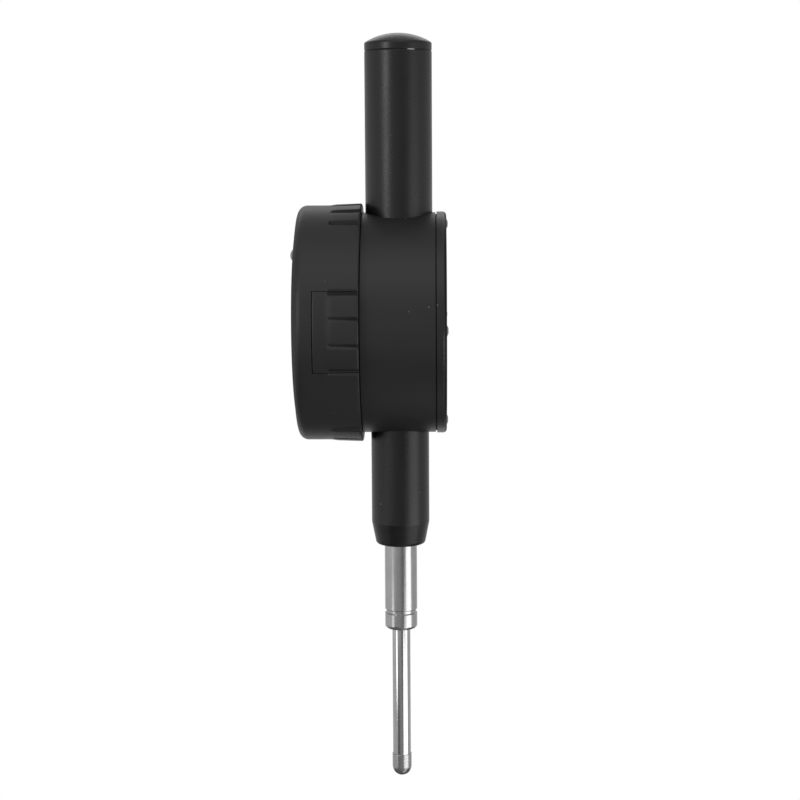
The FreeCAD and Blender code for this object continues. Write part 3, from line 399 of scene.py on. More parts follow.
@dataclass(frozen=True)
class TurnedMetal:
    """Turned, ground or polished metal with fine tool rings round one axis."""

    name: str
    tone: Triple = (0.52, 0.52, 0.53)
    roughness: float = 0.16
    spread: float = 0.05
    ring: float = 0.00012
    ring_depth: float = 0.0000012
    axis: Turn = Turn.SPINDLE
    smudge: float = 0.25
    across: float = 0.03

    def make(self) -> Finish:
        """Build the material.

        Returns:
            The finished material.
        """
        g = Graph(self.name)
        thin = self.across
        stretch = (thin, thin, 1.0) if self.axis is Turn.SPINDLE else (thin, 1.0, thin)
        rings = g.noise(self.ring, 3.0, 0.7, g.stretched(stretch))
        stain = g.noise(0.004, 4.0, 0.65)
        darker = tuple(c * (1.0 - self.smudge) for c in self.tone)
        g.wire("Base Color", g.blend(g.remap(stain, (0.35, 0.75), UNIT), self.tone, darker))
        pattern = g.total(g.product(rings, 0.6), g.product(stain, 0.4))
        g.wire("Roughness", g.around(pattern, self.roughness, self.spread))
        g.bump(rings, self.ring_depth)
        g.fix(Metallic=1.0)
        return g.material


@dataclass(frozen=True)
class Moulded:
    """Moulded plastic or rubber with a fine texture."""

    name: str
    tone: Triple
    roughness: float = 0.5
    spread: float = 0.05
    grain: float = 0.0003
    depth: float = 0.000006
    shade: float = 0.2
    specular: float = 0.5

    def make(self) -> Finish:
        """Build the material.

        Returns:
            The finished material.
        """
        g = Graph(self.name)
        darker = tuple(c * (1.0 - self.shade) for c in self.tone)
        g.wire("Base Color", g.blend(g.noise(0.005, 4.0, 0.6), self.tone, darker))
        fine = g.noise(self.grain, 3.0, 0.6)
        g.wire("Roughness", g.around(fine, self.roughness, self.spread))
        g.bump(fine, self.depth)
        g.fix(Specular_IOR_Level=self.specular)
        return g.material


@dataclass(frozen=True)
class ClearPane:
    """Clear acrylic with faint smears."""

    name: str

    def make(self) -> Finish:
        """Build the material.

        Returns:
            The finished material.
        """
        g = Graph(self.name)
        g.wire("Roughness", g.remap(g.noise(0.006, 5.0, 0.6), (0.35, 0.7), (0.02, 0.09)))
        g.fix(Base_Color=(0.96, 0.98, 0.97, 1.0), Transmission_Weight=1.0, IOR=1.49)
        return g.material


@dataclass(frozen=True)
class DisplayCell:
    """Grey-green face of the liquid crystal cell, with a faint pixel-fine weave."""

    name: str

    def make(self) -> Finish:
        """Build the material.

        Returns:
            The finished material.
        """
        g = Graph(self.name)
        weave = g.noise(0.00015, 1.0, 0.3)
        g.wire("Base Color", g.blend(weave, (0.40, 0.44, 0.36), (0.46, 0.50, 0.41)))
        g.wire("Roughness", g.remap(g.noise(0.004, 3.0, 0.5), (0.3, 0.7), (0.22, 0.32)))
        return g.material


@dataclass(frozen=True)
class BoardLaminate:
    """Green circuit board with copper tracks under the mask."""

    name: str

    def make(self) -> Finish:
        """Build the material.

        Returns:
            The finished material.
        """
        g = Graph(self.name)
        tracks = g.add("ShaderNodeTexBrick", {"Vector": g.place, "Scale": 420.0, "Mortar Size": 0.03})
        lines = tracks.outputs["Fac"]
        g.wire("Base Color", g.blend(lines, (0.015, 0.10, 0.035), (0.05, 0.20, 0.07)))
        g.wire("Roughness", g.remap(g.noise(0.002, 3.0, 0.5), (0.3, 0.7), (0.25, 0.4)))
        g.bump(lines, 0.00002)
        return g.material


class Palette:
    """Every finish of the indicator, made once."""

    def __init__(self) -> None:
        """Build the materials."""
        cover_y, front_y = Box.of("back_cover").high.y * MM, Box.of("bezel_ring").low.y * MM
        cover_edge = (cover_y - 0.0007, cover_y - 0.0004)
        nose_edge = (front_y + 0.0005, front_y + 0.0002)
        self.case = SatinCoat("satin_black_case", roughness=0.44).make()
        self.cover = SatinCoat("satin_black_cover", tone=(0.0120, 0.0120, 0.0128), roughness=0.40,
                               dark_y=cover_edge).make()
        # The head's finish darkens the top pad's grooves from the groove attribute: painted shade.
        self.head = SatinCoat("moulded_black_head", roughness=0.46, wave_depth=0.000002,
                              dark_y=nose_edge, groove_shade=0.5).make()
        self.tube = SatinCoat("sparkle_black_tube", tone=(0.0065, 0.0065, 0.0070), roughness=0.33,
                              spread=0.08, grain=0.0003, depth=0.000007, wave_depth=0.000008,
                              flake_share=0.22, dust_share=0.03).make()
        self.sleeve = SatinCoat("sparkle_black_sleeve", tone=(0.0045, 0.0045, 0.0050), roughness=0.35,
                                spread=0.08, grain=0.0003, depth=0.000006, wave_depth=0.000006,
                                flake_share=0.06, specular=0.45).make()
        # Seam land: painted shade in the groove and one painted glint.
        self.seam = SeamShadeGlint("cap_seam_shade_glint").make()
        self.stem = TurnedMetal("turned_stem_steel", tone=(0.44, 0.44, 0.445), roughness=0.2,
                                smudge=0.1).make()
        self.spindle = TurnedMetal("ground_spindle_steel", tone=(0.50, 0.50, 0.505), roughness=0.09,
                                   spread=0.03, ring_depth=0.0000005, smudge=0.15).make()
        self.contact = TurnedMetal("ground_contact_steel", tone=(0.44, 0.44, 0.44), roughness=0.27,
                                   ring_depth=0.000002).make()
        self.screw = TurnedMetal("dark_screw_steel", tone=(0.22, 0.22, 0.225), roughness=0.3,
                                 axis=Turn.HEAD).make()
        self.bright = TurnedMetal("bright_cell_steel", tone=(0.66, 0.66, 0.66), roughness=0.14,
                                  axis=Turn.HEAD).make()
        self.spring = TurnedMetal("drawn_spring_wire", tone=(0.42, 0.42, 0.42), roughness=0.25).make()
        self.brass = TurnedMetal("turned_brass", tone=(0.60, 0.42, 0.16), roughness=0.22).make()
        self.aluminium = TurnedMetal("milled_aluminium", tone=(0.62, 0.62, 0.64), roughness=0.3).make()
        self.panel = Moulded("gloss_black_panel", (0.006, 0.006, 0.007), roughness=0.24, depth=0.0000008,
                             specular=0.22).make()
        self.button = Moulded("grey_button_rubber", (0.36, 0.36, 0.365), roughness=0.4).make()
        self.print = Moulded("white_print", (0.72, 0.72, 0.72), roughness=0.5, depth=0.000001).make()
        self.segment = Moulded("display_segment", (0.014, 0.016, 0.018), roughness=0.4, depth=0.000001).make()
        self.inner = Moulded("moulded_black_inner", (0.02, 0.02, 0.02), roughness=0.55).make()
        self.rubber = Moulded("seal_rubber", (0.012, 0.012, 0.012), roughness=0.7, depth=0.00001).make()
        self.film = Moulded("amber_film", (0.35, 0.16, 0.03), roughness=0.3).make()
        self.strip = TurnedMetal("tinned_strip", tone=(0.7, 0.68, 0.6), roughness=0.22, axis=Turn.HEAD).make()
        self.clear = ClearPane("clear_window").make()
        self.cell = DisplayCell("display_cell").make()
        self.board = BoardLaminate("circuit_board").make()


def fillet(before: Point2, corner: Point2, after: Point2, radius: float,
           steps: int = 5) -> list[Point2]:
    """Round one corner of an outline, with a support point on each side.

    Args:
        before: corner before it.
        corner: the corner.
        after: corner after it.
        radius: rounding radius; 0 keeps the corner sharp.
        steps: number of segments in the arc.

    Returns:
        Points that replace the corner.
    """
    here = Vector(corner)
    back, ahead = Vector(before) - here, Vector(after) - here
    tiny, straight = 1e-9, math.radians(89)
    if radius <= 0 or back.length < tiny or ahead.length < tiny:
        return [corner]
    reach_back, reach_ahead = back.length, ahead.length
    back.normalize()
    ahead.normalize()
    half = back.angle(ahead) / 2
    if half > straight:
        return [corner]
    tangent = radius / math.tan(half)
    centre = here + (back + ahead).normalized() * (radius / math.sin(half))
    start, end = here + back * tangent - centre, here + ahead * tangent - centre
    points = []
    support = radius * 0.3
    if reach_back > tangent + support * 2:
        points.append(here + back * (tangent + support))
    sweep = start.angle_signed(end)
    for i in range(steps + 1):
        turned = Matrix.Rotation(-sweep * i / steps, 2) @ start
        points.append(centre + turned)
    if reach_ahead > tangent + support * 2:
        points.append(here + ahead * (tangent + support))
    return [tuple(p) for p in points]


def rounded(outline: Outline, steps: int = 5) -> list[Point2]:
    """Round the corners of a closed outline.

    Args:
        outline: (radius, place, rounding) for each corner, in order.
        steps: segments in each arc.

    Returns:
        The outline's points.
    """
    points: list[Point2] = []
    for i, (r, t, radius) in enumerate(outline):
        before, after = outline[i - 1][:2], outline[(i + 1) % len(outline)][:2]
        points += fillet(before, (r, t), after, radius, steps)
    return points


def mesh_piece(name: str, points: Iterable[Vector], faces: Iterable[Sequence[int]],
               sharp_deg: float | None = 42.0) -> Piece:
    """Make a piece from points in millimetres.

    Args:
        name: the piece's name.
        points: its points.
        faces: its faces, as point numbers.
        sharp_deg: edges that bend more than this stay sharp.

    Returns:
        The piece, with its faces outwards.
    """
    mesh = bpy.data.meshes.new(name)
    mesh.from_pydata([tuple(Vector(p) * MM) for p in points], [], [list(f) for f in faces])
    build = bmesh.new()
    build.from_mesh(mesh)
    bmesh.ops.remove_doubles(build, verts=build.verts, dist=1e-7)
    bmesh.ops.recalc_face_normals(build, faces=build.faces)
    build.to_mesh(mesh)
    build.free()
    mesh.shade_smooth()
    if sharp_deg is not None:
        mesh.set_sharp_from_angle(angle=math.radians(sharp_deg))
    piece = bpy.data.objects.new(name, mesh)
    bpy.context.scene.collection.objects.link(piece)
    return piece


def ring_point(axis: Turn, radius: float, place: float, angle: float) -> Vector:
    """Point on a turned piece.

    Args:
        axis: axis that it is turned about.
        radius: distance from the axis.
        place: place along the axis.
        angle: angle from +X, in radians.

    Returns:
        The point in the row frame, in millimetres.
    """
    across, up = radius * math.cos(angle), radius * math.sin(angle)
    if axis is Turn.SPINDLE:
        return Vector((across, up, place))
    return Vector((across, place, CASE_Z + up))


def swept(name: str, axis: Turn, angles: Sequence[float], outline_at: Callable[[float], Sequence[Point2]],
          closed: bool = True, sharp_deg: float | None = 42.0) -> Piece:
    """Sweep a closed outline round an axis; its radii may change with the angle.

    Args:
        name: the piece's name.
        axis: axis to sweep about.
        angles: angles of the sections, in radians.
        outline_at: gives the outline at an angle, always with as many points.
        closed: True for a full turn, False for a sector with two end faces.
        sharp_deg: edges that bend more than this stay sharp.

    Returns:
        The piece.
    """
    sections = [[ring_point(axis, r, t, a) for r, t in outline_at(a)] for a in angles]
    count = len(sections[0])
    points = [p for section in sections for p in section]
    faces = []
    last = len(sections) if closed else len(sections) - 1
    for i in range(last):
        here, there = i * count, (i + 1) % len(sections) * count
        for j in range(count):
            k = (j + 1) % count
            faces.append((here + j, here + k, there + k, there + j))
    if not closed:
        faces += [tuple(range(count)), tuple(range(len(points) - count, len(points)))]
    return mesh_piece(name, points, faces, sharp_deg)


def turned(name: str, axis: Turn, outline: Outline, steps: int = 160) -> Piece:
    """Turn a rounded outline about an axis. Points on the axis close the piece at its poles.

    Args:
        name: the piece's name.
        axis: axis to turn about.
        outline: (radius, place, rounding) for each corner.
        steps: sections in a full turn.

    Returns:
        The piece.
    """
    points = rounded(outline)
    angles = [math.tau * i / steps for i in range(steps)]
    return swept(name, axis, angles, lambda a: points)


def dress(piece: Piece, finish: Finish, body: str, *nodes: str,
          slot: str | None = None) -> Piece:
    """Give a new piece its finish, its body and the CAD nodes that it stands for.

    Args:
        piece: the new piece.
        finish: its material.
        body: body that it rides on.
        nodes: CAD nodes that it replaces.
        slot: not used.

    Returns:
        The same piece.
    """
    piece.data.materials.clear()
    piece.data.materials.append(finish)
    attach(piece, body)
    if nodes:
        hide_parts(*nodes)
    log.info("piece %s on %s, %d faces", piece.name, body, len(piece.data.polygons))
    return piece


def coat(node: str, finish: Finish) -> None:
    """Give a CAD node that keeps its shape a better finish.

    Args:
        node: the node's name.
        finish: its material.
    """
    data = frame["nodes"][node].data
    data.materials.clear()
    data.materials.append(finish)
    log.info("node %s coated with %s", node, finish.name)


def smooth_step(value: float, low: float, high: float) -> float:
    """Ease from 0 at low to 1 at high."""
    share = min(1.0, max(0.0, (value - low) / (high - low)))
    return share * share * (3.0 - 2.0 * share)


def combine(piece: Piece, other: Piece, operation: str = "DIFFERENCE") -> None:
    """Cut one piece by another, or join the two into one solid, and remove the other.

    Args:
        piece: the piece that stays.
        other: the piece that is used up.
        operation: DIFFERENCE or UNION.
    """
    step = piece.modifiers.new("combine", "BOOLEAN")
    step.operation, step.solver, step.object = operation, "EXACT", other
    bake(piece)
    bpy.data.objects.remove(other)


def block(name: str, low: Vector, high: Vector, soft: float) -> Piece:
    """Box with softened edges.

    Args:
        name: the piece's name.
        low: its lowest corner.
        high: its highest corner.
        soft: rounding of its edges.

    Returns:
        The piece.
    """
    points = [Vector(p) for p in product((low.x, high.x), (low.y, high.y), (low.z, high.z))]
    faces = [(0, 1, 3, 2), (4, 6, 7, 5), (0, 4, 5, 1), (2, 3, 7, 6), (0, 2, 6, 4), (1, 5, 7, 3)]
    piece = mesh_piece(name, points, faces)
    build = bmesh.new()
    build.from_mesh(piece.data)
    bmesh.ops.bevel(build, geom=build.edges[:], offset=soft * MM, segments=3, profile=0.5, affect="EDGES")
    build.to_mesh(piece.data)
    build.free()
    return piece


def disc_mesh(name: str, centre: Vector, radius: float, y_low: float, y_high: float,
              steps: int = 96) -> Piece:
    """Cylinder along Y.

    Args:
        name: the piece's name.
        centre: a point on its axis.
        radius: its radius.
        y_low: its front end.
        y_high: its rear end.
        steps: sides of the cylinder.

    Returns:
        The piece.
    """
    points = [Vector((centre.x + radius * math.cos(math.tau * i / steps), y,
                      centre.z + radius * math.sin(math.tau * i / steps)))
              for y in (y_low, y_high) for i in range(steps)]
    faces = [(i, (i + 1) % steps, steps + (i + 1) % steps, steps + i) for i in range(steps)]
    faces += [tuple(range(steps)), tuple(range(steps, 2 * steps))]
    return mesh_piece(name, points, faces)


def slab(name: str, outlines: Sequence[Sequence[Point2]], y_front: float, y_back: float,
         slant: float) -> Piece:
    """Thin plates with given outlines, standing in the XZ plane.

    Args:
        name: the piece's name.
        outlines: closed outlines as (x, z) points.
        y_front: the plates' front.
        y_back: the plates' back.
        slant: sideways lean for each unit of height.

    Returns:
        The piece.
    """
    points, faces = [], []
    for outline in outlines:
        start, count = len(points), len(outline)
        for y in (y_front, y_back):
            points += [Vector((x + slant * z, y, z)) for x, z in outline]
        faces += [tuple(range(start, start + count)), tuple(range(start + count, start + 2 * count))]
        faces += [(start + i, start + (i + 1) % count, start + count + (i + 1) % count, start + count + i)
                  for i in range(count)]
    return mesh_piece(name, points, faces)


def rounded_box(x: float, z: float, half_x: float, half_z: float, radius: float) -> list[Point2]:
    """Outline of a rectangle with rounded corners.

    Args:
        x: its centre along X.
        z: its centre along Z.
        half_x: half its width.
        half_z: half its height.
        radius: corner radius.

    Returns:
        Its outline.
    """
    corners = ((half_x, half_z, 0), (-half_x, half_z, 90), (-half_x, -half_z, 180), (half_x, -half_z, 270))
    outline = []
    for cx, cz, start in corners:
        in_x, in_z = x + cx - math.copysign(radius, cx), z + cz - math.copysign(radius, cz)
        for turn in range(start, start + 91, 15):
            a = math.radians(turn)
            outline.append((in_x + radius * math.cos(a), in_z + radius * math.sin(a)))
    return outline


def lettering(name: str, text: str, size: float, thick: float, place: Vector) -> Piece:
    """Thin raised lettering that is read from the front, centred on a place.

    Args:
        name: the piece's name.
        text: what it says.
        size: height of the capitals, roughly.
        thick: thickness.
        place: its centre, on its front.

    Returns:
        The piece as a plain mesh.
    """
    curve = bpy.data.curves.new(name, "FONT")
    curve.body, curve.size, curve.extrude = text, size * 1.35, thick / 2
    curve.align_x, curve.align_y = "CENTER", "CENTER"
    curve.resolution_u = 3
    source = bpy.data.objects.new(f"{name}_curve", curve)
    bpy.context.scene.collection.objects.link(source)
    graph = bpy.context.evaluated_depsgraph_get()
    graph.update()
    mesh = bpy.data.meshes.new_from_object(source.evaluated_get(graph))
    bpy.data.objects.remove(source)
    middle = Matrix.Translation((place + Vector((0, thick / 2, 0))) * MM)
    mesh.transform(middle @ Matrix.Rotation(math.pi / 2, 4, "X") @ Matrix.Scale(MM, 4))
    piece = bpy.data.objects.new(name, mesh)
    mesh.name = name
    bpy.context.scene.collection.objects.link(piece)
    return piece


class BakedTree:
    """Geometry Nodes tree that is run on a piece and then baked to a plain mesh."""

    def __init__(self, name: str, kinds: dict[str, str]) -> None:
        """Start the tree with its sockets.

        Args:
            name: the tree's name.
            kinds: type of each input beside the geometry and the finish, by its name.
        """
        self.tree = bpy.data.node_groups.new(name, "GeometryNodeTree")
        self._socket("Geometry", "Geometry", "INPUT")
        self.keys = {key: self._socket(key, kind, "INPUT") for key, kind in kinds.items()}
        self.keys["Finish"] = self._socket("Finish", "Material", "INPUT")
        self._socket("Geometry", "Geometry", "OUTPUT")
        self.given = self.tree.nodes.new("NodeGroupInput").outputs

    def _socket(self, name: str, kind: str, side: str) -> str:
        """Add a socket to the tree's face and return its identifier."""
        made = self.tree.interface.new_socket(name, in_out=side, socket_type=f"NodeSocket{kind}")
        return made.identifier

    def add(self, kind: str, inputs: dict | None = None, **settings: object) -> bpy.types.Node:
        """Add a node, with the arguments of add_node."""
        return add_node(self.tree, kind, inputs, **settings)

    def copied(self, places: Socket, turn: Socket | Triple = (0.0, 0.0, 0.0)) -> Socket:
        """Set the given geometry on points.

        Args:
            places: geometry with the points.
            turn: rotation of each copy.

        Returns:
            The copies.
        """
        made = self.add("GeometryNodeInstanceOnPoints", {
            "Points": places, "Instance": self.given["Geometry"], "Rotation": turn})
        return made.outputs["Instances"]

    def close(self, made: Socket) -> None:
        """Give out a geometry as real faces with the finish on them.

        Args:
            made: the geometry.
        """
        real = self.add("GeometryNodeRealizeInstances", {"Geometry": made})
        paint = self.add("GeometryNodeSetMaterial", {"Geometry": real.outputs["Geometry"],
                                                     "Material": self.given["Finish"]})
        self.add("NodeGroupOutput", {"Geometry": paint.outputs["Geometry"]})

    def run(self, piece: Piece, values: dict[str, object], finish: Finish) -> Piece:
        """Run the tree on a piece and bake it.

        Args:
            piece: the piece, modelled at the world's origin; its mesh is used up.
            values: value of each input, by its name.
            finish: the result's material.

        Returns:
            The same piece with the result as its mesh.
        """
        modifier = piece.modifiers.new("tree", "NODES")
        modifier.node_group = self.tree
        for key, value in {**values, "Finish": finish}.items():
            modifier[self.keys[key]] = value
        return bake(piece)


class CopyRow(BakedTree):
    """Tree that sets copies of one mesh in a row along X."""

    def __init__(self) -> None:
        """Build the tree."""
        super().__init__("copies_in_a_row", {"Count": "Int", "Pitch": "Vector", "First Place": "Vector"})
        line = self.add("GeometryNodeMeshLine", {
            "Count": self.given["Count"], "Start Location": self.given["First Place"],
            "Offset": self.given["Pitch"]})
        self.close(self.copied(line.outputs["Mesh"]))

    def copies(self, piece: Piece, count: int, pitch: float, first: Vector, finish: Finish) -> Piece:
        """Set copies of a piece in a row.

        Args:
            piece: the piece to copy; it is used up.
            count: number of copies.
            pitch: distance between them in millimetres.
            first: place of the first one.
            finish: the copies' material.

        Returns:
            One piece with all the copies.
        """
        return self.run(piece, {"Count": count, "Pitch": (pitch * MM, 0.0, 0.0),
                                "First Place": tuple(first * MM)}, finish)


class CopyRing(BakedTree):
    """Tree that sets copies of one mesh on a circle about the head axis, each with a turn of its own."""

    def __init__(self) -> None:
        """Build the tree."""
        super().__init__("copies_on_a_circle", {"Count": "Int", "Circle Radius": "Float",
                                                "Start Angle": "Float", "Centre Height": "Float"})
        circle = self.add("GeometryNodeMeshCircle", {
            "Vertices": self.given["Count"], "Radius": self.given["Circle Radius"]})
        tilt = self.add("ShaderNodeCombineXYZ", {"X": math.pi / 2, "Y": self.given["Start Angle"]})
        lift = self.add("ShaderNodeCombineXYZ", {"Z": self.given["Centre Height"]})
        stand = self.add("GeometryNodeTransform", {
            "Geometry": circle.outputs["Mesh"], "Translation": lift.outputs["Vector"],
            "Rotation": tilt.outputs["Vector"]})
        spin = self.add("FunctionNodeRandomValue", {
            "Min": (0.0, -0.8, 0.0), "Max": (0.0, 0.8, 0.0), "Seed": 7}, data_type="FLOAT_VECTOR")
        self.close(self.copied(stand.outputs["Geometry"], spin.outputs["Value"]))

    def copies(self, piece: Piece, count: int, radius: float, start: float, finish: Finish) -> Piece:
        """Set copies of a piece on a circle.

        Args:
            piece: the piece to copy; it is used up.
            count: number of copies.
            radius: circle radius in millimetres.
            start: angle of the first copy in degrees.
            finish: the copies' material.

        Returns:
            One piece with all the copies.
        """
        return self.run(piece, {"Count": count, "Circle Radius": radius * MM,
                                "Start Angle": math.radians(start), "Centre Height": CASE_Z * MM}, finish)


def bake(piece: Piece) -> Piece:
    """Turn a piece's modifiers into a plain mesh.

    Args:
        piece: piece with live modifiers.

    Returns:
        The same piece with no modifiers.
    """
    graph = bpy.context.evaluated_depsgraph_get()
    graph.update()
    mesh = bpy.data.meshes.new_from_object(piece.evaluated_get(graph))
    mesh.name = piece.name
    piece.modifiers.clear()
    piece.data = mesh
    return piece


@dataclass
class SpindleTube:
    """Long tube and domed cap above the case."""

    bore: float = 6.25
    seam: float = 0.2
    seam_gap: float = 0.06
    land_step: float = 0.12
    cap_rim: float = 1.95
    rim_round: float = 0.7
    plug_round: float = 0.3
    arc_steps: int = 16

    def build(self, palette: Palette) -> None:
        """Make the tube, the cap and the land in the seam between them; the land carries painted shade and a
        painted glint.

        Args:
            palette: the finishes.
        """
        tube, cap = Box.of("top_tube"), Box.of("tube_cap")
        radius = tube.size.x / 2
        low, high = tube.low.z, tube.high.z
        below, under = high - self.seam_gap, high + self.seam_gap
        land_r = radius - self.land_step
        shell = turned("spindle_tube", Turn.SPINDLE, [
            (self.bore, low, 0.0), (radius, low, 0.0), (radius, below, self.seam), (self.bore, below, 0.0)])
        dress(shell, palette.tube, "case", "top_tube", slot="tube_black")
        land = turned("seam_land", Turn.SPINDLE, [
            (self.bore, below, 0.0), (land_r, below, 0.0), (land_r, under, 0.0), (self.bore, under, 0.0)])
        dress(land, palette.seam, "case", slot="tube_black")
        rim = high + self.cap_rim
        rise = cap.high.z - rim
        dome = (radius ** 2 + rise ** 2) / (2 * rise)
        half = math.asin(radius / dome)
        turns = [half * i / self.arc_steps for i in range(self.arc_steps - 1)]
        arc = [(dome * math.sin(a), cap.high.z - dome + dome * math.cos(a), 0.0) for a in turns]
        lid = turned("domed_cap", Turn.SPINDLE, arc + [
            (radius, rim, self.rim_round), (radius, under, self.seam), (self.bore, under, 0.0),
            (self.bore, cap.low.z, self.plug_round), (0.0, cap.low.z, 0.0)])
        dress(lid, palette.tube, "case", "tube_cap", slot="tube_black")


@dataclass
class StemGroup:
    """Sleeve and bare stem below the case."""

    sleeve_end_r: float = 6.0
    taper: float = 5.6
    taper_round: float = 0.8
    end_round: float = 0.9
    stem_r: float = 4.0
    stem_seat_r: float = 3.7
    stem_round: float = 0.85
    bush_r: float = 3.0
    bore_r: float = 2.5
    groove_z: float = -8.75
    groove: float = 1.0
    groove_depth: float = 0.3
    lip_round: float = 0.12
    root_round: float = 0.1

    def build(self, palette: Palette) -> None:
        """Make the sleeve and the stem.

        Args:
            palette: the finishes.
        """
        sleeve, stem = Box.of("stem_sleeve"), Box.of("stem")
        sleeve_r = sleeve.size.x / 2
        piece = turned("stem_sleeve_black", Turn.SPINDLE, [
            (self.stem_seat_r, sleeve.low.z, 0.0), (self.sleeve_end_r, sleeve.low.z, self.end_round),
            (sleeve_r, sleeve.low.z + self.taper, self.taper_round), (sleeve_r, sleeve.high.z, 0.0),
            (self.stem_seat_r, sleeve.high.z, 0.0)])
        dress(piece, palette.sleeve, "case", "stem_sleeve", slot="tube_black")
        low, high = self.groove_z - self.groove / 2, self.groove_z + self.groove / 2
        inner, root = self.stem_r - self.groove_depth, self.root_round
        bush_top = Box.of("lower_bush").high.z
        piece = turned("bare_stem", Turn.SPINDLE, [
            (self.bush_r, stem.low.z, 0.0), (self.stem_r, stem.low.z, self.stem_round),
            (self.stem_r, low, self.lip_round), (inner, low + root, root), (inner, high - root, root),
            (self.stem_r, high, self.lip_round), (self.stem_r, sleeve.low.z, 0.0),
            (self.stem_seat_r, sleeve.low.z, 0.0),
            (self.stem_seat_r, stem.high.z, 0.0), (self.bore_r, stem.high.z, 0.0),
            (self.bore_r, bush_top, 0.0), (self.bush_r, bush_top, 0.0)])
        dress(piece, palette.stem, "case", "stem", slot="stem_steel")


@dataclass
class SpindleGroup:
    """Ground spindle, its contact point and the return spring."""

    contact_r: float = 2.4
    seam: float = 0.12
    stud_r: float = 1.15
    stud_round: float = 0.1
    spring_r: float = 4.4
    wire_r: float = 0.25
    turns: int = 15

    def build(self, palette: Palette) -> None:
        """Make the contact point and the spring, and coat the spindle.

        Args:
            palette: the finishes.
        """
        contact, spindle = Box.of("contact_point"), Box.of("spindle")
        r, centre = self.contact_r, contact.low.z + self.contact_r
        turns = [math.radians(a) for a in range(0, 91, 6)]
        ball = [(r * math.sin(a), centre - r * math.cos(a), 0.0) for a in turns]
        top = spindle.low.z
        piece = turned("ball_contact_point", Turn.SPINDLE, ball + [
            (r, top, self.seam), (self.stud_r, top, 0.0), (self.stud_r, contact.high.z, self.stud_round),
            (0.0, contact.high.z, 0.0)])
        dress(piece, palette.contact, "spindle", "contact_point", slot="contact_steel")
        coat("spindle", palette.spindle)
        self.spring(palette)

    def spring(self, palette: Palette) -> None:
        """Make the return spring as a helix that fills the spring's box; it rides on the case and keeps its
        length.

        Args:
            palette: the finishes.
        """
        box = Box.of("return_spring")
        coil = HelixTree().coil("return_spring_coil", self, box, palette.spring)
        dress(coil, palette.spring, "case", "return_spring", slot="spring_steel")
        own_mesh(coil)


class HelixTree(BakedTree):
    """Tree that sweeps a round wire along a spiral."""

    def __init__(self) -> None:
        """Build the tree."""
        super().__init__("round_wire_helix", {key: "Float" for key in (
            "Turns", "Coil Radius", "Coil Length", "Wire Radius", "Foot Height")})
        spiral = self.add("GeometryNodeCurveSpiral", {
            "Resolution": 40, "Rotations": self.given["Turns"], "Start Radius": self.given["Coil Radius"],
            "End Radius": self.given["Coil Radius"], "Height": self.given["Coil Length"]})
        ring = self.add("GeometryNodeCurvePrimitiveCircle", {
            "Resolution": 10, "Radius": self.given["Wire Radius"]})
        wire = self.add("GeometryNodeCurveToMesh", {
            "Fill Caps": True, "Curve": spiral.outputs["Curve"], "Profile Curve": ring.outputs["Curve"]})
        lift = self.add("ShaderNodeCombineXYZ", {"Z": self.given["Foot Height"]})
        stand = self.add("GeometryNodeTransform", {
            "Geometry": wire.outputs["Mesh"], "Translation": lift.outputs["Vector"]})
        self.close(stand.outputs["Geometry"])

    def coil(self, name: str, size: SpindleGroup, box: Box, finish: Finish) -> Piece:
        """Make a coil that fills a box.

        Args:
            name: the piece's name.
            size: holds the coil's radius, wire radius and turns.
            box: space that the coil fills.
            finish: its material.

        Returns:
            The coil as a plain mesh.
        """
        piece = bpy.data.objects.new(name, bpy.data.meshes.new(name))
        bpy.context.scene.collection.objects.link(piece)
        return self.run(piece, {
            "Turns": float(size.turns), "Coil Radius": size.spring_r * MM,
            "Coil Length": (box.size.z - 2 * size.wire_r) * MM, "Wire Radius": size.wire_r * MM,
            "Foot Height": (box.low.z + size.wire_r) * MM}, finish)


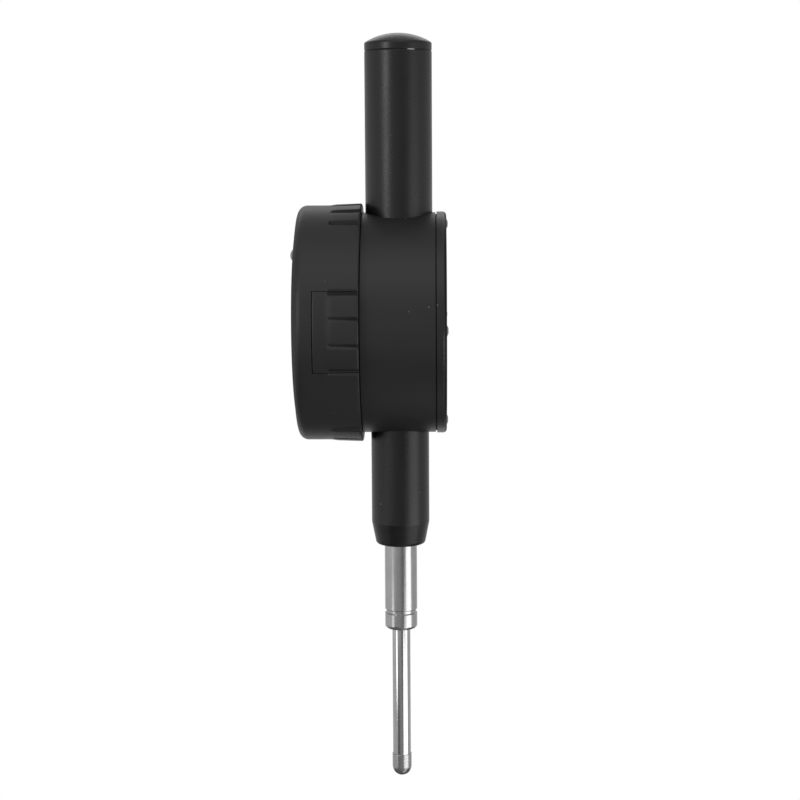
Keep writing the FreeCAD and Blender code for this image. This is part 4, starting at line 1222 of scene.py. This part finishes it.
@dataclass
class CaseGroup:
    """Round case, back cover, gasket and cover screws."""

    screw_count: int = 4
    head_r: float = 1.4
    head_high: float = 1.2
    head_flank: float = 0.75
    shank_r: float = 0.8
    recess_long: float = 0.75
    recess_thin: float = 0.19
    recess_deep: float = 0.6
    recess_soft: float = 0.03
    tip_round: float = 0.15
    seat_round: float = 0.05
    flank_round: float = 0.08
    arc_steps: int = 8
    sharp_deg: float = 35.0

    def build(self, palette: Palette, copies: CopyRing) -> None:
        """Make the cover screws and coat the case and its fixed inner parts.

        Args:
            palette: the finishes.
            copies: the tree that repeats pieces on a circle.
        """
        self.screws(palette, copies)
        for node, finish in {
            "case": palette.case, "back_cover": palette.cover, "cover_gasket": palette.rubber,
            "upper_bush": palette.brass, "stop_buffer": palette.rubber,
            "lower_bush": palette.brass, "wiper_seal": palette.rubber, "guide_rod": palette.spindle,
            "sensor_board": palette.board, "sensor_screws": palette.screw, "flex_cable": palette.film,
            "head_retaining_ring": palette.spring, "friction_ring": palette.rubber,
            "spindle_collar": palette.brass, "scale_carrier": palette.aluminium,
            "carrier_screw": palette.screw, "scale_strip": palette.board,
        }.items():
            coat(node, finish)

    def screws(self, palette: Palette, copies: CopyRing) -> None:
        """Make one domed screw with a cross recess and set copies of it on the cover.

        Args:
            palette: the finishes.
            copies: the tree that repeats pieces on a circle.
        """
        box = Box.of("cover_screws")
        top, seat = box.high.y, box.high.y - self.head_high
        at_r = box.size.x / 2 - self.head_r
        flank = seat + self.head_flank
        rise = top - flank
        dome = (self.head_r ** 2 + rise ** 2) / (2 * rise)
        half = math.asin(self.head_r / dome)
        turns = [half * (1 - i / self.arc_steps) for i in range(1, self.arc_steps + 1)]
        arc = [(dome * math.sin(a), top - dome + dome * math.cos(a), 0.0) for a in turns]
        screw = turned("cover_screw_row", Turn.HEAD, [
            (0.0, box.low.y, 0.0), (self.shank_r, box.low.y, self.tip_round), (self.shank_r, seat, 0.0),
            (self.head_r, seat, self.seat_round), (self.head_r, flank, self.flank_round)] + arc, steps=48)
        arm, thin = self.recess_long, self.recess_thin
        for half_x, half_z in ((arm, thin), (thin, arm)):
            bar = block("recess_bar", Vector((-half_x, top - self.recess_deep, CASE_Z - half_z)),
                        Vector((half_x, top + 1.0, CASE_Z + half_z)), self.recess_soft)
            combine(screw, bar)
        screw.data.transform(Matrix.Translation((0, 0, -CASE_Z * MM)))
        screws = copies.copies(screw, self.screw_count, at_r, 0.0, palette.screw)
        screws.data.set_sharp_from_angle(angle=math.radians(self.sharp_deg))
        dress(screws, palette.screw, "case", "cover_screws", slot="screw_steel")


def away_deg(angle: float, centre: float) -> float:
    """Signed turn in degrees from a centre to an angle, from -180 to 180."""
    return (angle - centre + 180.0) % 360.0 - 180.0


@dataclass
class GripPads:
    """Raised pads of grip segments round the head, as a rise above its smooth radius."""

    pitch_deg: float = 12.5
    front_y: float = -16.9
    ramp: float = 1.0
    blend: float = 2.0
    front_rise: float = 0.2
    back_rise: float = 0.45
    groove: float = 1.2
    end_groove: float = 1.8
    sink: float = 0.12
    end_sink: float = 0.55
    tall: int = 5
    side: int = 3
    tall_end_shift: float = 1.2
    top_groove: float = 2.4
    bottom_share: float = 0.5
    reach_deg: float = 3.0
    fine_deg: float = 0.25
    coarse_deg: float = 1.5

    @property
    def halves(self) -> dict[float, float]:
        """Half of each pad's angle, by the angle of its centre."""
        tall, side = self.tall * self.pitch_deg / 2, self.side * self.pitch_deg / 2
        return {90.0: tall, -90.0: tall, 180.0: side, 0.0: side}

    def rise(self, angle: float, y: float, radius: float, back_y: float) -> float:
        """Height of the surface above the smooth radius.

        Args:
            angle: angle from +X in radians.
            y: place along the head axis.
            radius: the smooth radius.
            back_y: rear edge of the head.

        Returns:
            The rise in millimetres; negative in a pad's end groove.
        """
        for centre, half in self.halves.items():
            away = away_deg(math.degrees(angle), centre)
            if abs(away) < half + self.reach_deg:
                return self._pad(away, centre, half, y, radius, back_y)
        return 0.0

    def groove_shade(self, angle: float, y: float, radius: float) -> float:
        """Share of painted shade in the top pad's grooves, where their walls would shade them.

        Args:
            angle: angle from +X in radians.
            y: place along the head axis.
            radius: the smooth radius.

        Returns:
            From 0 outside a groove to 1 at its middle.
        """
        half, away = self.halves[90.0], away_deg(math.degrees(angle), 90.0)
        if abs(away) > half + self.reach_deg or y < self.front_y + self.ramp * 0.6:
            return 0.0
        middle, width = self._groove(away, 90.0, half)
        distance = abs(math.radians(away - middle)) * radius
        share = 0.7 if width == self.end_groove else 1.0
        return share * (1.0 - smooth_step(distance, width * 0.35, width * 0.55))

    def _groove(self, away: float, centre: float, half: float) -> Point2:
        """Find the groove that is nearest to an angle.

        Args:
            away: angle from the pad's centre in degrees.
            centre: angle of the pad's centre.
            half: half of the pad's angle.

        Returns:
            The groove's middle in degrees from the pad's centre, and its width in millimetres.
        """
        nearest = round((away + half) / self.pitch_deg) * self.pitch_deg - half
        nearest = max(-half, min(half, nearest))
        if abs(abs(nearest) - half) < 0.01:
            shift = {90.0: -self.tall_end_shift, -90.0: self.tall_end_shift}.get(centre, 0.0)
            return nearest * (1.0 + shift / half), self.end_groove
        return nearest, self.top_groove if centre == 90.0 else self.groove

    def _pad(self, away: float, centre: float, half: float, y: float, radius: float,
             back_y: float) -> float:
        """Rise of one pad.

        Args:
            away: angle from the pad's centre in degrees.
            centre: angle of the pad's centre.
            half: half of the pad's angle.
            y: place along the head axis.
            radius: the smooth radius.
            back_y: rear edge of the head.

        Returns:
            The rise in millimetres.
        """
        ramp_end = self.front_y + self.ramp
        share = max(0.0, (y - ramp_end) / (back_y - ramp_end))
        level = self.front_rise + (self.back_rise - self.front_rise) * share
        nearest, width = self._groove(away, centre, half)
        at_end = abs(abs(nearest) - half) < 1.5
        level *= smooth_step(y, self.front_y, self.front_y + self.blend)
        level *= 0.0 if at_end and abs(away) > abs(nearest) else 1.0
        distance = abs(math.radians(away - nearest)) * radius
        depth = max(0.0, 1.0 - distance / (width / 2))
        started = smooth_step(y, ramp_end - 0.2, ramp_end + 0.15)
        sink = self.end_sink if at_end else self.sink
        sink *= self.bottom_share if centre == -90.0 else 1.0
        return level * (1.0 - depth * (1.0 if at_end else started)) - sink * depth * started

    def angles(self, low_deg: float = 0.0, high_deg: float = 360.0) -> list[float]:
        """Angles to sample: close together on a pad and wide apart elsewhere.

        Args:
            low_deg: first angle.
            high_deg: last angle.

        Returns:
            Angles in radians.
        """
        found = []
        angle = low_deg
        while angle < high_deg - 1e-6:
            found.append(math.radians(angle))
            near = any(abs(away_deg(angle, centre)) < half + self.reach_deg + 0.5
                       for centre, half in self.halves.items())
            angle += self.fine_deg if near else self.coarse_deg
        return found


@dataclass
class DisplayHead:
    """Bezel with its grip pads, front panel, display, buttons and battery drawer."""

    wall: float = 2.2
    corner: float = 2.2
    ledge: float = 0.8
    ledge_thick: float = 0.9
    seat_gap: float = 0.1
    tray_rim: float = 0.68
    tray_floor: float = 0.6
    tray_root: float = 0.5
    post_r: float = 2.2
    post_in: float = 2.0
    hatch_gap_deg: float = 0.3
    hatch_gap: float = 0.15
    edge: float = 0.3
    lip_round: float = 0.15
    plate_thick: float = 1.7
    tray_gap: float = 0.15
    hatch_steps: int = 160
    cutter_steps: int = 48
    front_steps: int = 6
    fine_steps: int = 12
    rear_steps: int = 12
    fine: float = 0.1
    lead: float = 0.2
    spare: float = 1.0
    bezel_sharp_deg: float = 50.0
    hatch_sharp_deg: float = 45.0
    pads: GripPads = field(default_factory=GripPads)

    def __post_init__(self) -> None:
        """Read the sizes that the CAD nodes give."""
        ring, plate = Box.of("bezel_ring"), Box.of("rear_plate")
        self.front, self.back = ring.low.y, ring.high.y
        self.radius = ring.size.z / 2 - self.pads.back_rise
        self.bore = self.radius - self.wall
        self.seat_r = plate.size.x / 2 + self.seat_gap
        self.plate_y = plate.high.y - self.plate_thick
        self.panel = Box.of("front_panel")
        self.cell = Box.of("coin_cell")
        hatch_half = self.cell.size.x / 2 + self.tray_rim
        self.hatch_half_deg = math.degrees(math.asin(hatch_half / self.bore))
        self.hatch_front = Box.of("battery_drawer").low.y

    def build(self, palette: Palette, copies: CopyRing) -> None:
        """Make the head's pieces and coat the nodes that keep their shape.

        Args:
            palette: the finishes.
            copies: the tree that repeats pieces on a circle.
        """
        self.bezel(palette, copies)
        self.drawer(palette)
        for node, finish in {
            "front_panel": palette.panel, "lcd_window": palette.clear, "lcd_module": palette.cell,
            "zebra_strips": palette.rubber, "display_board": palette.board, "flex_socket": palette.inner,
            "button_mat": palette.rubber, "battery_bay": palette.inner,
            "battery_contact_minus": palette.strip, "battery_contact_plus": palette.strip,
            "coin_cell": palette.bright, "rear_plate": palette.inner,
            "head_screws": palette.screw, "stop_pin": palette.spring, "button_on_off": palette.button,
            "button_unit": palette.button, "button_zero": palette.button,
        }.items():
            coat(node, finish)

    def outer_places(self, front_y: float) -> list[float]:
        """Places along the head axis where its outer surface is sampled.

        Args:
            front_y: the first place.

        Returns:
            Places up to the rear edge's rounding, close together at the pads' ramp.
        """
        ramp_end = self.pads.front_y + self.pads.ramp
        start = self.pads.front_y - self.lead
        rear = self.back - self.edge - ramp_end - self.lead
        places = [front_y + (start - front_y) * i / self.front_steps for i in range(self.front_steps + 1)]
        places += [self.pads.front_y - self.fine + self.fine * i for i in range(self.fine_steps + 1)]
        places += [ramp_end + self.lead + rear * i / self.rear_steps for i in range(self.rear_steps + 1)]
        return places

    def outer_line(self, angle: float, places: Sequence[float]) -> list[Point2]:
        """Outer surface and rounded rear edge at one angle.

        Args:
            angle: angle from +X in radians.
            places: places along the head axis.

        Returns:
            Outline points from front to back.
        """
        line = [(self.radius + self.pads.rise(angle, y, self.radius, self.back), y) for y in places]
        end = line[-1][0]
        turns = [math.radians(d) for d in (30, 60, 90)]
        return line + [(end - self.edge * (1 - math.cos(a)), self.back - self.edge * (1 - math.sin(a)))
                       for a in turns]

    def bezel(self, palette: Palette, copies: CopyRing) -> None:
        """Make the ring with its pads and cut the hatch opening.

        Args:
            palette: the finishes.
            copies: the tree that repeats pieces on a circle.
        """
        ledge_y = self.panel.high.y
        panel_r = self.panel.size.x / 2
        lip = panel_r + self.seat_gap
        nose = rounded([(lip, ledge_y, 0.0), (lip, self.front, self.lip_round),
                        (self.radius, self.front, self.corner), (self.radius, self.back, 0.0)], 8)[:-1]
        places = self.outer_places(self.front + self.corner * 1.5)
        ledge_r, ledge_back = panel_r - self.ledge, ledge_y + self.ledge_thick
        inside = [(self.seat_r, self.back), (self.seat_r, self.plate_y), (self.bore, self.plate_y),
                  (self.bore, ledge_back), (ledge_r, ledge_back), (ledge_r, ledge_y)]
        ring = swept("bezel_with_grips", Turn.HEAD, self.pads.angles(),
                     lambda angle: nose + self.outer_line(angle, places) + inside,
                     sharp_deg=self.bezel_sharp_deg)
        half = math.radians(self.hatch_half_deg + self.hatch_gap_deg)
        low, high = self.bore - self.spare, self.radius + 2 * self.spare
        cut_y, end_y = self.hatch_front - self.hatch_gap, self.back + self.spare
        steps = [-half + 2 * half * i / self.cutter_steps for i in range(self.cutter_steps + 1)]
        cutter = swept("hatch_cutter", Turn.HEAD, steps, lambda a: [
            (low, cut_y), (high, cut_y), (high, end_y), (low, end_y)], closed=False)
        combine(ring, self.posts(palette, copies), "UNION")
        combine(ring, cutter)
        ring.data.set_sharp_from_angle(angle=math.radians(self.bezel_sharp_deg))
        # Painted shade in the top pad's grooves, stored on the points for the head's finish.
        groove_shade = ring.data.attributes.new(GROOVE_SHADE, "FLOAT", "POINT")
        points = [v.co / MM for v in ring.data.vertices]
        groove_shade.data.foreach_set("value", [self.pads.groove_shade(math.atan2(p.z - CASE_Z, p.x), p.y, self.radius)
                                        for p in points])
        dress(ring, palette.head, "display_head", "bezel_ring", slot="head_black")

    def posts(self, palette: Palette, copies: CopyRing) -> Piece:
        """Make the four screw posts inside the ring.

        Args:
            palette: the finishes.
            copies: the tree that repeats pieces on a circle.

        Returns:
            One piece with the posts.
        """
        start, end = self.panel.high.y + self.ledge_thick / 2, Box.of("display_board").low.y
        post = disc_mesh("screw_posts", Vector((0, 0, 0)), self.post_r, start, end, 48)
        return copies.copies(post, 4, self.bore - self.post_in, 45.0, palette.head)

    def drawer(self, palette: Palette) -> None:
        """Make the curved hatch of the battery drawer with its tray.

        Args:
            palette: the finishes.
        """
        front, inner = self.hatch_front, self.seat_r
        places = [front + self.edge + 0.05] + [y for y in self.outer_places(front + 0.5) if y > front + 0.6]
        half = math.radians(self.hatch_half_deg)

        def outline(angle: float) -> list[Point2]:
            """Outline of the hatch.

            Args:
                angle: angle from +X in radians.

            Returns:
                Its points.
            """
            line = self.outer_line(angle, places)
            first = line[0][0]
            turns = [math.radians(d) for d in (0, 30, 60)]
            soft = self.edge * 0.6
            nose = [(first - soft * (1 - math.sin(a)), front + soft * (1 - math.cos(a))) for a in turns]
            return [(inner, front)] + nose + line + [(inner, self.back)]

        angles = [-half + 2 * half * i / self.hatch_steps for i in range(self.hatch_steps + 1)]
        hatch = swept("battery_hatch", Turn.HEAD, angles, outline, closed=False,
                      sharp_deg=self.bezel_sharp_deg)
        cell = self.cell
        rim = cell.size.x / 2 + self.tray_rim - self.tray_gap
        low_x = Box.of("battery_drawer").low.x
        root = inner + self.tray_root
        turn = math.asin(rim / root)
        arc = [turn * (i / 12 - 1) for i in range(25)]
        outline_xz = [(root * math.cos(a), CASE_Z + root * math.sin(a)) for a in arc]
        outline_xz += [(low_x, CASE_Z + rim), (low_x, CASE_Z - rim)]
        tray = slab("cell_tray", [outline_xz], cell.low.y, cell.high.y + self.tray_floor, 0.0)
        centre = (cell.low + cell.high) / 2
        pocket_r = cell.size.x / 2 + self.seat_gap
        combine(tray, disc_mesh("cell_pocket", centre, pocket_r, cell.low.y - self.spare, cell.high.y))
        combine(hatch, tray, "UNION")
        hatch.data.set_sharp_from_angle(angle=math.radians(self.hatch_sharp_deg))
        dress(hatch, palette.head, "battery_drawer", "battery_drawer", slot="head_black")


@dataclass
class FacePrint:
    """Printed labels and outline on the panel, and the reading on the display cell."""

    label_size: float = 1.9
    label_drop: float = 4.6
    outline_gap: float = 0.7
    outline_wide: float = 0.22
    print_thick: float = 0.02
    digit_high: float = 8.4
    digit_wide: float = 4.4
    segment: float = 0.85
    digit_pitch: float = 6.0
    digit_shift: float = 2.3
    digit_count: int = 5
    segment_gap: float = 0.12
    slant: float = 0.10
    point_half: float = 0.45
    point_shift: float = 2.7
    unit_size: float = 1.9
    unit_in: float = 2.9
    unit_up: float = 0.6
    foot_drop: float = 0.4
    window_round: float = 1.0

    def build(self, palette: Palette, rows: CopyRow) -> None:
        """Make the labels, the outline and the reading.

        Args:
            palette: the finishes.
            rows: the tree that repeats pieces in a row.
        """
        panel, window = Box.of("front_panel"), Box.of("lcd_window")
        face_y = panel.low.y - self.print_thick
        for node, text in (("button_on_off", "ON/OFF"), ("button_unit", "mm/in"), ("button_zero", "ZERO")):
            button = Box.of(node)
            middle = (button.low + button.high) / 2
            label = lettering(f"label_{node}", text, self.label_size, self.print_thick,
                              Vector((middle.x, face_y, middle.z - self.label_drop)))
            dress(label, palette.print, "display_head", slot="button_grey")
        self.outline(palette, window, face_y)
        self.reading(palette, window, rows)

    def outline(self, palette: Palette, window: Box, face_y: float) -> None:
        """Make the thin printed line round the window.

        Args:
            palette: the finishes.
            window: the window's box.
            face_y: front of the print.
        """
        centre = (window.low + window.high) / 2
        loops = []
        for grow in (self.outline_gap, self.outline_gap + self.outline_wide):
            half_x, half_z = window.size.x / 2 + grow, window.size.z / 2 + grow
            loops.append(rounded_box(centre.x, centre.z, half_x, half_z, self.window_round + grow))
        count = len(loops[0])
        points = [Vector((x, y, z)) for y in (face_y, face_y + self.print_thick)
                  for loop in loops for x, z in loop]
        faces = []
        for first, second in ((0, 1), (1, 3), (3, 2), (2, 0)):
            for i in range(count):
                k = (i + 1) % count
                faces.append((first * count + i, first * count + k, second * count + k, second * count + i))
        line = mesh_piece("window_outline", points, faces)
        dress(line, palette.print, "display_head", slot="button_grey")

    def reading(self, palette: Palette, window: Box, rows: CopyRow) -> None:
        """Make seven-segment zeros, a decimal point and the unit, on the cell behind the window.

        Args:
            palette: the finishes.
            window: the window's box.
            rows: the tree that repeats pieces in a row.
        """
        glass_y = Box.of("lcd_module").low.y - self.print_thick
        centre = (window.low + window.high) / 2
        low_z = centre.z - self.digit_high / 2 - self.foot_drop
        w, h = self.digit_wide / 2, self.digit_high / 2
        ends = ((-w, h, w, h), (w, h, w, 0), (w, 0, w, -h), (-w, -h, w, -h), (-w, 0, -w, -h), (-w, h, -w, 0))
        bars = [self._bar(Vector((x0, z0)), Vector((x1, z1))) for x0, z0, x1, z1 in ends]
        zero = slab("zero_glyph", bars, 0.0, self.print_thick, self.slant)
        first = Vector((centre.x - 2 * self.digit_pitch - self.digit_shift, glass_y, low_z + h))
        digits = rows.copies(zero, self.digit_count, self.digit_pitch, first, palette.segment)
        digits.name = "reading_zeros"
        dot_x, half = centre.x - self.digit_pitch * 0.5 - self.point_shift, self.point_half
        corners = ((-half, -half), (half, -half), (half, half), (-half, half))
        dot = [(dot_x + x, low_z + z) for x, z in corners]
        point = slab("reading_point", [dot], glass_y, glass_y + self.print_thick, 0.0)
        unit = lettering("reading_unit", "mm", self.unit_size, self.print_thick,
                         Vector((window.high.x - self.unit_in, glass_y, low_z + self.unit_up)))
        for piece in (digits, point, unit):
            dress(piece, palette.segment, "display_head", slot="lcd_grey")

    def _bar(self, start: Vector, end: Vector) -> list[Point2]:
        """Find the outline of one six-sided bar of a digit.

        Args:
            start: corner of the digit where the bar starts.
            end: corner where it ends.

        Returns:
            The bar's outline.
        """
        half = self.segment / 2
        along = (end - start).normalized()
        across = Vector((-along.y, along.x)) * half
        gap = along * self.segment_gap
        start, end = start + gap, end - gap
        inner, outer = start + along * half, end - along * half
        return [tuple(v) for v in (start, inner + across, outer + across,
                                   end, outer - across, inner - across)]


@dataclass(frozen=True)
class SoftBox:
    """One soft box; lengths in metres, angles in degrees."""

    name: str
    azimuth: float
    height: float
    width: float
    tall: float
    level: float
    rise: float = 0.0
    distance: float = 0.8


@dataclass
class Studio:
    """Camera, lamps, background and floor."""

    aim_z: float = 43.9
    distance: float = 454.0
    pitch_deg: float = 7.24
    yaw_deg: float = 1.115
    roll_deg: float = -0.34
    focal_px: float = 1850.0
    frame_px: float = 800.0
    sensor: float = 36.0
    floor_drop: float = 130.0
    floor_r: float = 220.0
    glow_deg: float = 51.5
    glow_level: float = 0.9
    near_level: float = 0.14
    floor_seen: float = 0.85
    floor_dark: Triple = (0.25, 0.25, 0.25)
    floor_light: Triple = (0.27, 0.27, 0.27)
    glow_along: Point2 = (0.01, 0.06)
    glow_aside: Point2 = (0.015, 0.045)
    near_along: Point2 = (0.05, 0.15)
    by_azimuth: Sequence[Point2] = (
        (-180, 1.0), (-140, 0.62), (-92, 0.80), (-66, 0.74), (-40, 0.70), (-24, 0.54), (-9, 0.46), (4, 0.30),
        (17, 0.13), (30, 0.15), (72, 0.62), (140, 0.58), (180, 1.0))
    by_azimuth_low: Sequence[Point2] = (
        (-180, 1.0), (-140, 0.62), (-66, 0.60), (-56, 0.42), (-44, 0.12), (-34, 0.13), (-21, 0.26),
        (-6, 0.42), (7, 0.36), (20, 0.30), (80, 0.6), (140, 0.58), (180, 1.0))
    low_share: Sequence[Point2] = ((-1.0, 1.0), (-0.29, 1.0), (-0.245, 0.0), (1.0, 0.0))
    by_height: Sequence[Point2] = ((0.0, 0.0), (0.46, 0.0), (0.58, 1.0), (1.0, 1.0))
    by_depth: Sequence[Point2] = ((0.0, 0.3), (0.22, 0.3), (0.31, 1.0), (1.0, 1.0))
    top_level: float = 0.44
    boxes: Sequence[SoftBox] = (
        SoftBox("box_right_low", 51.5, -0.34, 0.88, 0.22, 2.2),
        SoftBox("box_right", 55.0, -0.17, 0.54, 0.10, 2.3),
        SoftBox("box_right_mid", 55.0, -0.03, 0.54, 0.18, 1.2),
        SoftBox("box_right_high", 52.0, 0.22, 0.26, 0.30, 0.35),
        SoftBox("box_left", -42.0, 0.26, 0.22, 0.42, 3.6),
        SoftBox("box_left_low", -60.0, -0.24, 0.24, 0.055, 2.6),
        SoftBox("box_top", 0.0, 0.06, 0.9, 0.7, 0.5, rise=58.0, distance=0.9),
        SoftBox("box_back", 180.0, 0.06, 1.0, 0.35, 1.0, rise=30.0, distance=1.0),
        SoftBox("box_under", 180.0, 0.06, 0.9, 0.26, 0.7, rise=-36.0, distance=0.9))

    def build(self) -> None:
        """Make the camera, the light and the floor."""
        self.camera()
        self.world()
        self.lamps()
        self.floor()

    def camera(self) -> None:
        """Set the camera where the photograph was taken from."""
        pitch, yaw, roll = (math.radians(a) for a in (self.pitch_deg, self.yaw_deg, self.roll_deg))
        look = Vector((-math.cos(pitch) * math.cos(yaw), -math.cos(pitch) * math.sin(yaw), -math.sin(pitch)))
        right = look.cross(Vector((0, 0, 1))).normalized()
        up = right.cross(look)
        right, up = (right * math.cos(roll) + up * math.sin(roll),
                     up * math.cos(roll) - right * math.sin(roll))
        data = bpy.data.cameras.new("camera")
        data.sensor_width = self.sensor
        data.lens = self.focal_px / self.frame_px * self.sensor
        data.clip_start, data.clip_end = 0.01, 20.0
        camera = bpy.data.objects.new("camera", data)
        turn = Matrix((right, up, -look)).transposed().to_4x4()
        place = (Vector((0, 0, self.aim_z)) - look * self.distance) * MM
        camera.matrix_world = Matrix.Translation(place) @ turn
        bpy.context.scene.collection.objects.link(camera)
        bpy.context.scene.camera = camera

    def world(self) -> None:
        """White to camera and transmission rays, and to other rays a grey room with a white back."""
        world = bpy.data.worlds.new("studio")
        bpy.context.scene.world = world
        world.use_nodes = True
        tree = world.node_tree
        tree.nodes.clear()
        view = add_node(tree, "ShaderNodeTexCoord").outputs["Generated"]
        split = add_node(tree, "ShaderNodeSeparateXYZ", {0: view}).outputs
        turn = add_node(tree, "ShaderNodeMath", {0: split["Y"], 1: split["X"]}, operation="ARCTAN2")
        azimuth = turn.outputs[0]
        around, below = (self.ramp(tree, azimuth, math.pi, [(math.radians(a), tone) for a, tone in stops])
                         for stops in (self.by_azimuth, self.by_azimuth_low))
        height, depth = (self.ramp(tree, split["Z"], 1.0, [(2 * h - 1, tone) for h, tone in stops])
                         for stops in (self.by_height, self.by_depth))
        low = self.ramp(tree, split["Z"], 1.0, self.low_share)
        sides = mixed(tree, low, around, below)
        level = mixed(tree, height, sides, (self.top_level,) * 3)
        tone = mixed(tree, 1.0, level, depth, "MULTIPLY")
        room = add_node(tree, "ShaderNodeBackground", {"Color": tone})
        white = add_node(tree, "ShaderNodeBackground", {"Color": (1.0, 1.0, 1.0, 1.0)})
        path = add_node(tree, "ShaderNodeLightPath").outputs
        seen = add_node(tree, "ShaderNodeMath", {0: path["Is Camera Ray"], 1: path["Is Transmission Ray"]},
                        operation="MAXIMUM")
        mix = add_node(tree, "ShaderNodeMixShader", {0: seen.outputs[0], 1: room.outputs[0],
                                                     2: white.outputs[0]})
        add_node(tree, "ShaderNodeOutputWorld", {"Surface": mix.outputs[0]})

    def ramp(self, tree: bpy.types.NodeTree, source: Socket, reach: float,
             stops: Sequence[Point2]) -> Socket:
        """Grey levels along a value that runs from -reach to reach.

        Args:
            tree: the world's node tree.
            source: the value.
            reach: its largest size.
            stops: pairs of value and grey level.

        Returns:
            The level's socket.
        """
        share = add_node(tree, "ShaderNodeMapRange", {"Value": source, "From Min": -reach, "From Max": reach})
        ramp = add_node(tree, "ShaderNodeValToRGB", {"Fac": share.outputs["Result"]})
        ends = ramp.color_ramp.elements
        for n, (value, tone) in enumerate(stops):
            position = (value + reach) / (2 * reach)
            stop = ends[0] if n == 0 else ends[-1] if n == len(stops) - 1 else ends.new(position)
            stop.position = position
            stop.color = (tone, tone, tone, 1.0)
        return ramp.outputs["Color"]

    def lamps(self) -> None:
        """Add the soft boxes, each facing the spindle axis at its own height."""
        for lamp in self.boxes:
            data = bpy.data.lights.new(lamp.name, "AREA")
            data.shape, data.size, data.size_y = "RECTANGLE", lamp.width, lamp.tall
            data.energy = lamp.level * math.pi * lamp.width * lamp.tall
            box = bpy.data.objects.new(lamp.name, data)
            turn, rise = math.radians(lamp.azimuth), math.radians(lamp.rise)
            out = Vector((math.cos(turn) * math.cos(rise), math.sin(turn) * math.cos(rise), math.sin(rise)))
            place = Matrix.Translation(out * lamp.distance + Vector((0, 0, lamp.height)))
            box.matrix_world = place @ (-out).to_track_quat("-Z", "Y").to_matrix().to_4x4()
            bpy.context.scene.collection.objects.link(box)

    def floor(self) -> None:
        """Make a pale floor a hand's width below the contact point, with a glow for glossy rays."""
        low, sides = CAD_BOX[0].z / MM - self.floor_drop, 96
        turns = [math.tau * i / sides for i in range(sides)]
        points = [(self.floor_r * math.cos(a), self.floor_r * math.sin(a), low) for a in turns]
        plane = mesh_piece("floor", points, [tuple(range(sides))], None)
        g = Graph("pale_floor")
        g.wire("Base Color", g.blend(g.noise(0.03, 3.0, 0.5), self.floor_dark, self.floor_light))
        g.fix(Roughness=0.8, Specular_IOR_Level=0.2)
        path = g.add("ShaderNodeLightPath").outputs
        beam = g.add("ShaderNodeVectorRotate", {"Vector": g.place, "Angle": -math.radians(self.glow_deg)},
                     rotation_type="Z_AXIS")
        parts = g.add("ShaderNodeSeparateXYZ", {0: beam.outputs[0]}).outputs
        glow = g.product(g.remap(parts["X"], self.glow_along, (0.0, self.glow_level)),
                         g.remap(g.calc("ABSOLUTE", parts["Y"]), self.glow_aside, FALL))
        nearer = g.add("ShaderNodeSeparateXYZ", {0: g.place}).outputs["X"]
        glow = g.total(glow, g.remap(nearer, self.near_along, (0.0, self.near_level)))
        shown = g.total(g.product(path["Is Camera Ray"], self.floor_seen),
                        g.product(glow, path["Is Glossy Ray"]))
        lift = g.add("ShaderNodeEmission", {"Strength": shown})
        both = g.add("ShaderNodeAddShader", {0: g.shader.outputs["BSDF"], 1: lift.outputs[0]})
        out = next(n for n in g.tree.nodes if n.type == "OUTPUT_MATERIAL")
        g.tree.links.new(both.outputs[0], out.inputs["Surface"])
        plane.data.materials.append(g.material)


def main() -> None:
    """Build the indicator's looks in order and report each piece."""
    logging.basicConfig(level=logging.INFO, format="%(name)s: %(message)s")
    scene = bpy.context.scene
    scene.view_settings.view_transform = "Standard"
    palette = Palette()
    copies = CopyRing()
    Studio().build()
    CaseGroup().build(palette, copies)
    SpindleTube().build(palette)
    StemGroup().build(palette)
    SpindleGroup().build(palette)
    DisplayHead().build(palette, copies)
    FacePrint().build(palette, CopyRow())
    bpy.context.view_layer.update()


if __name__ == "__main__":
    main()
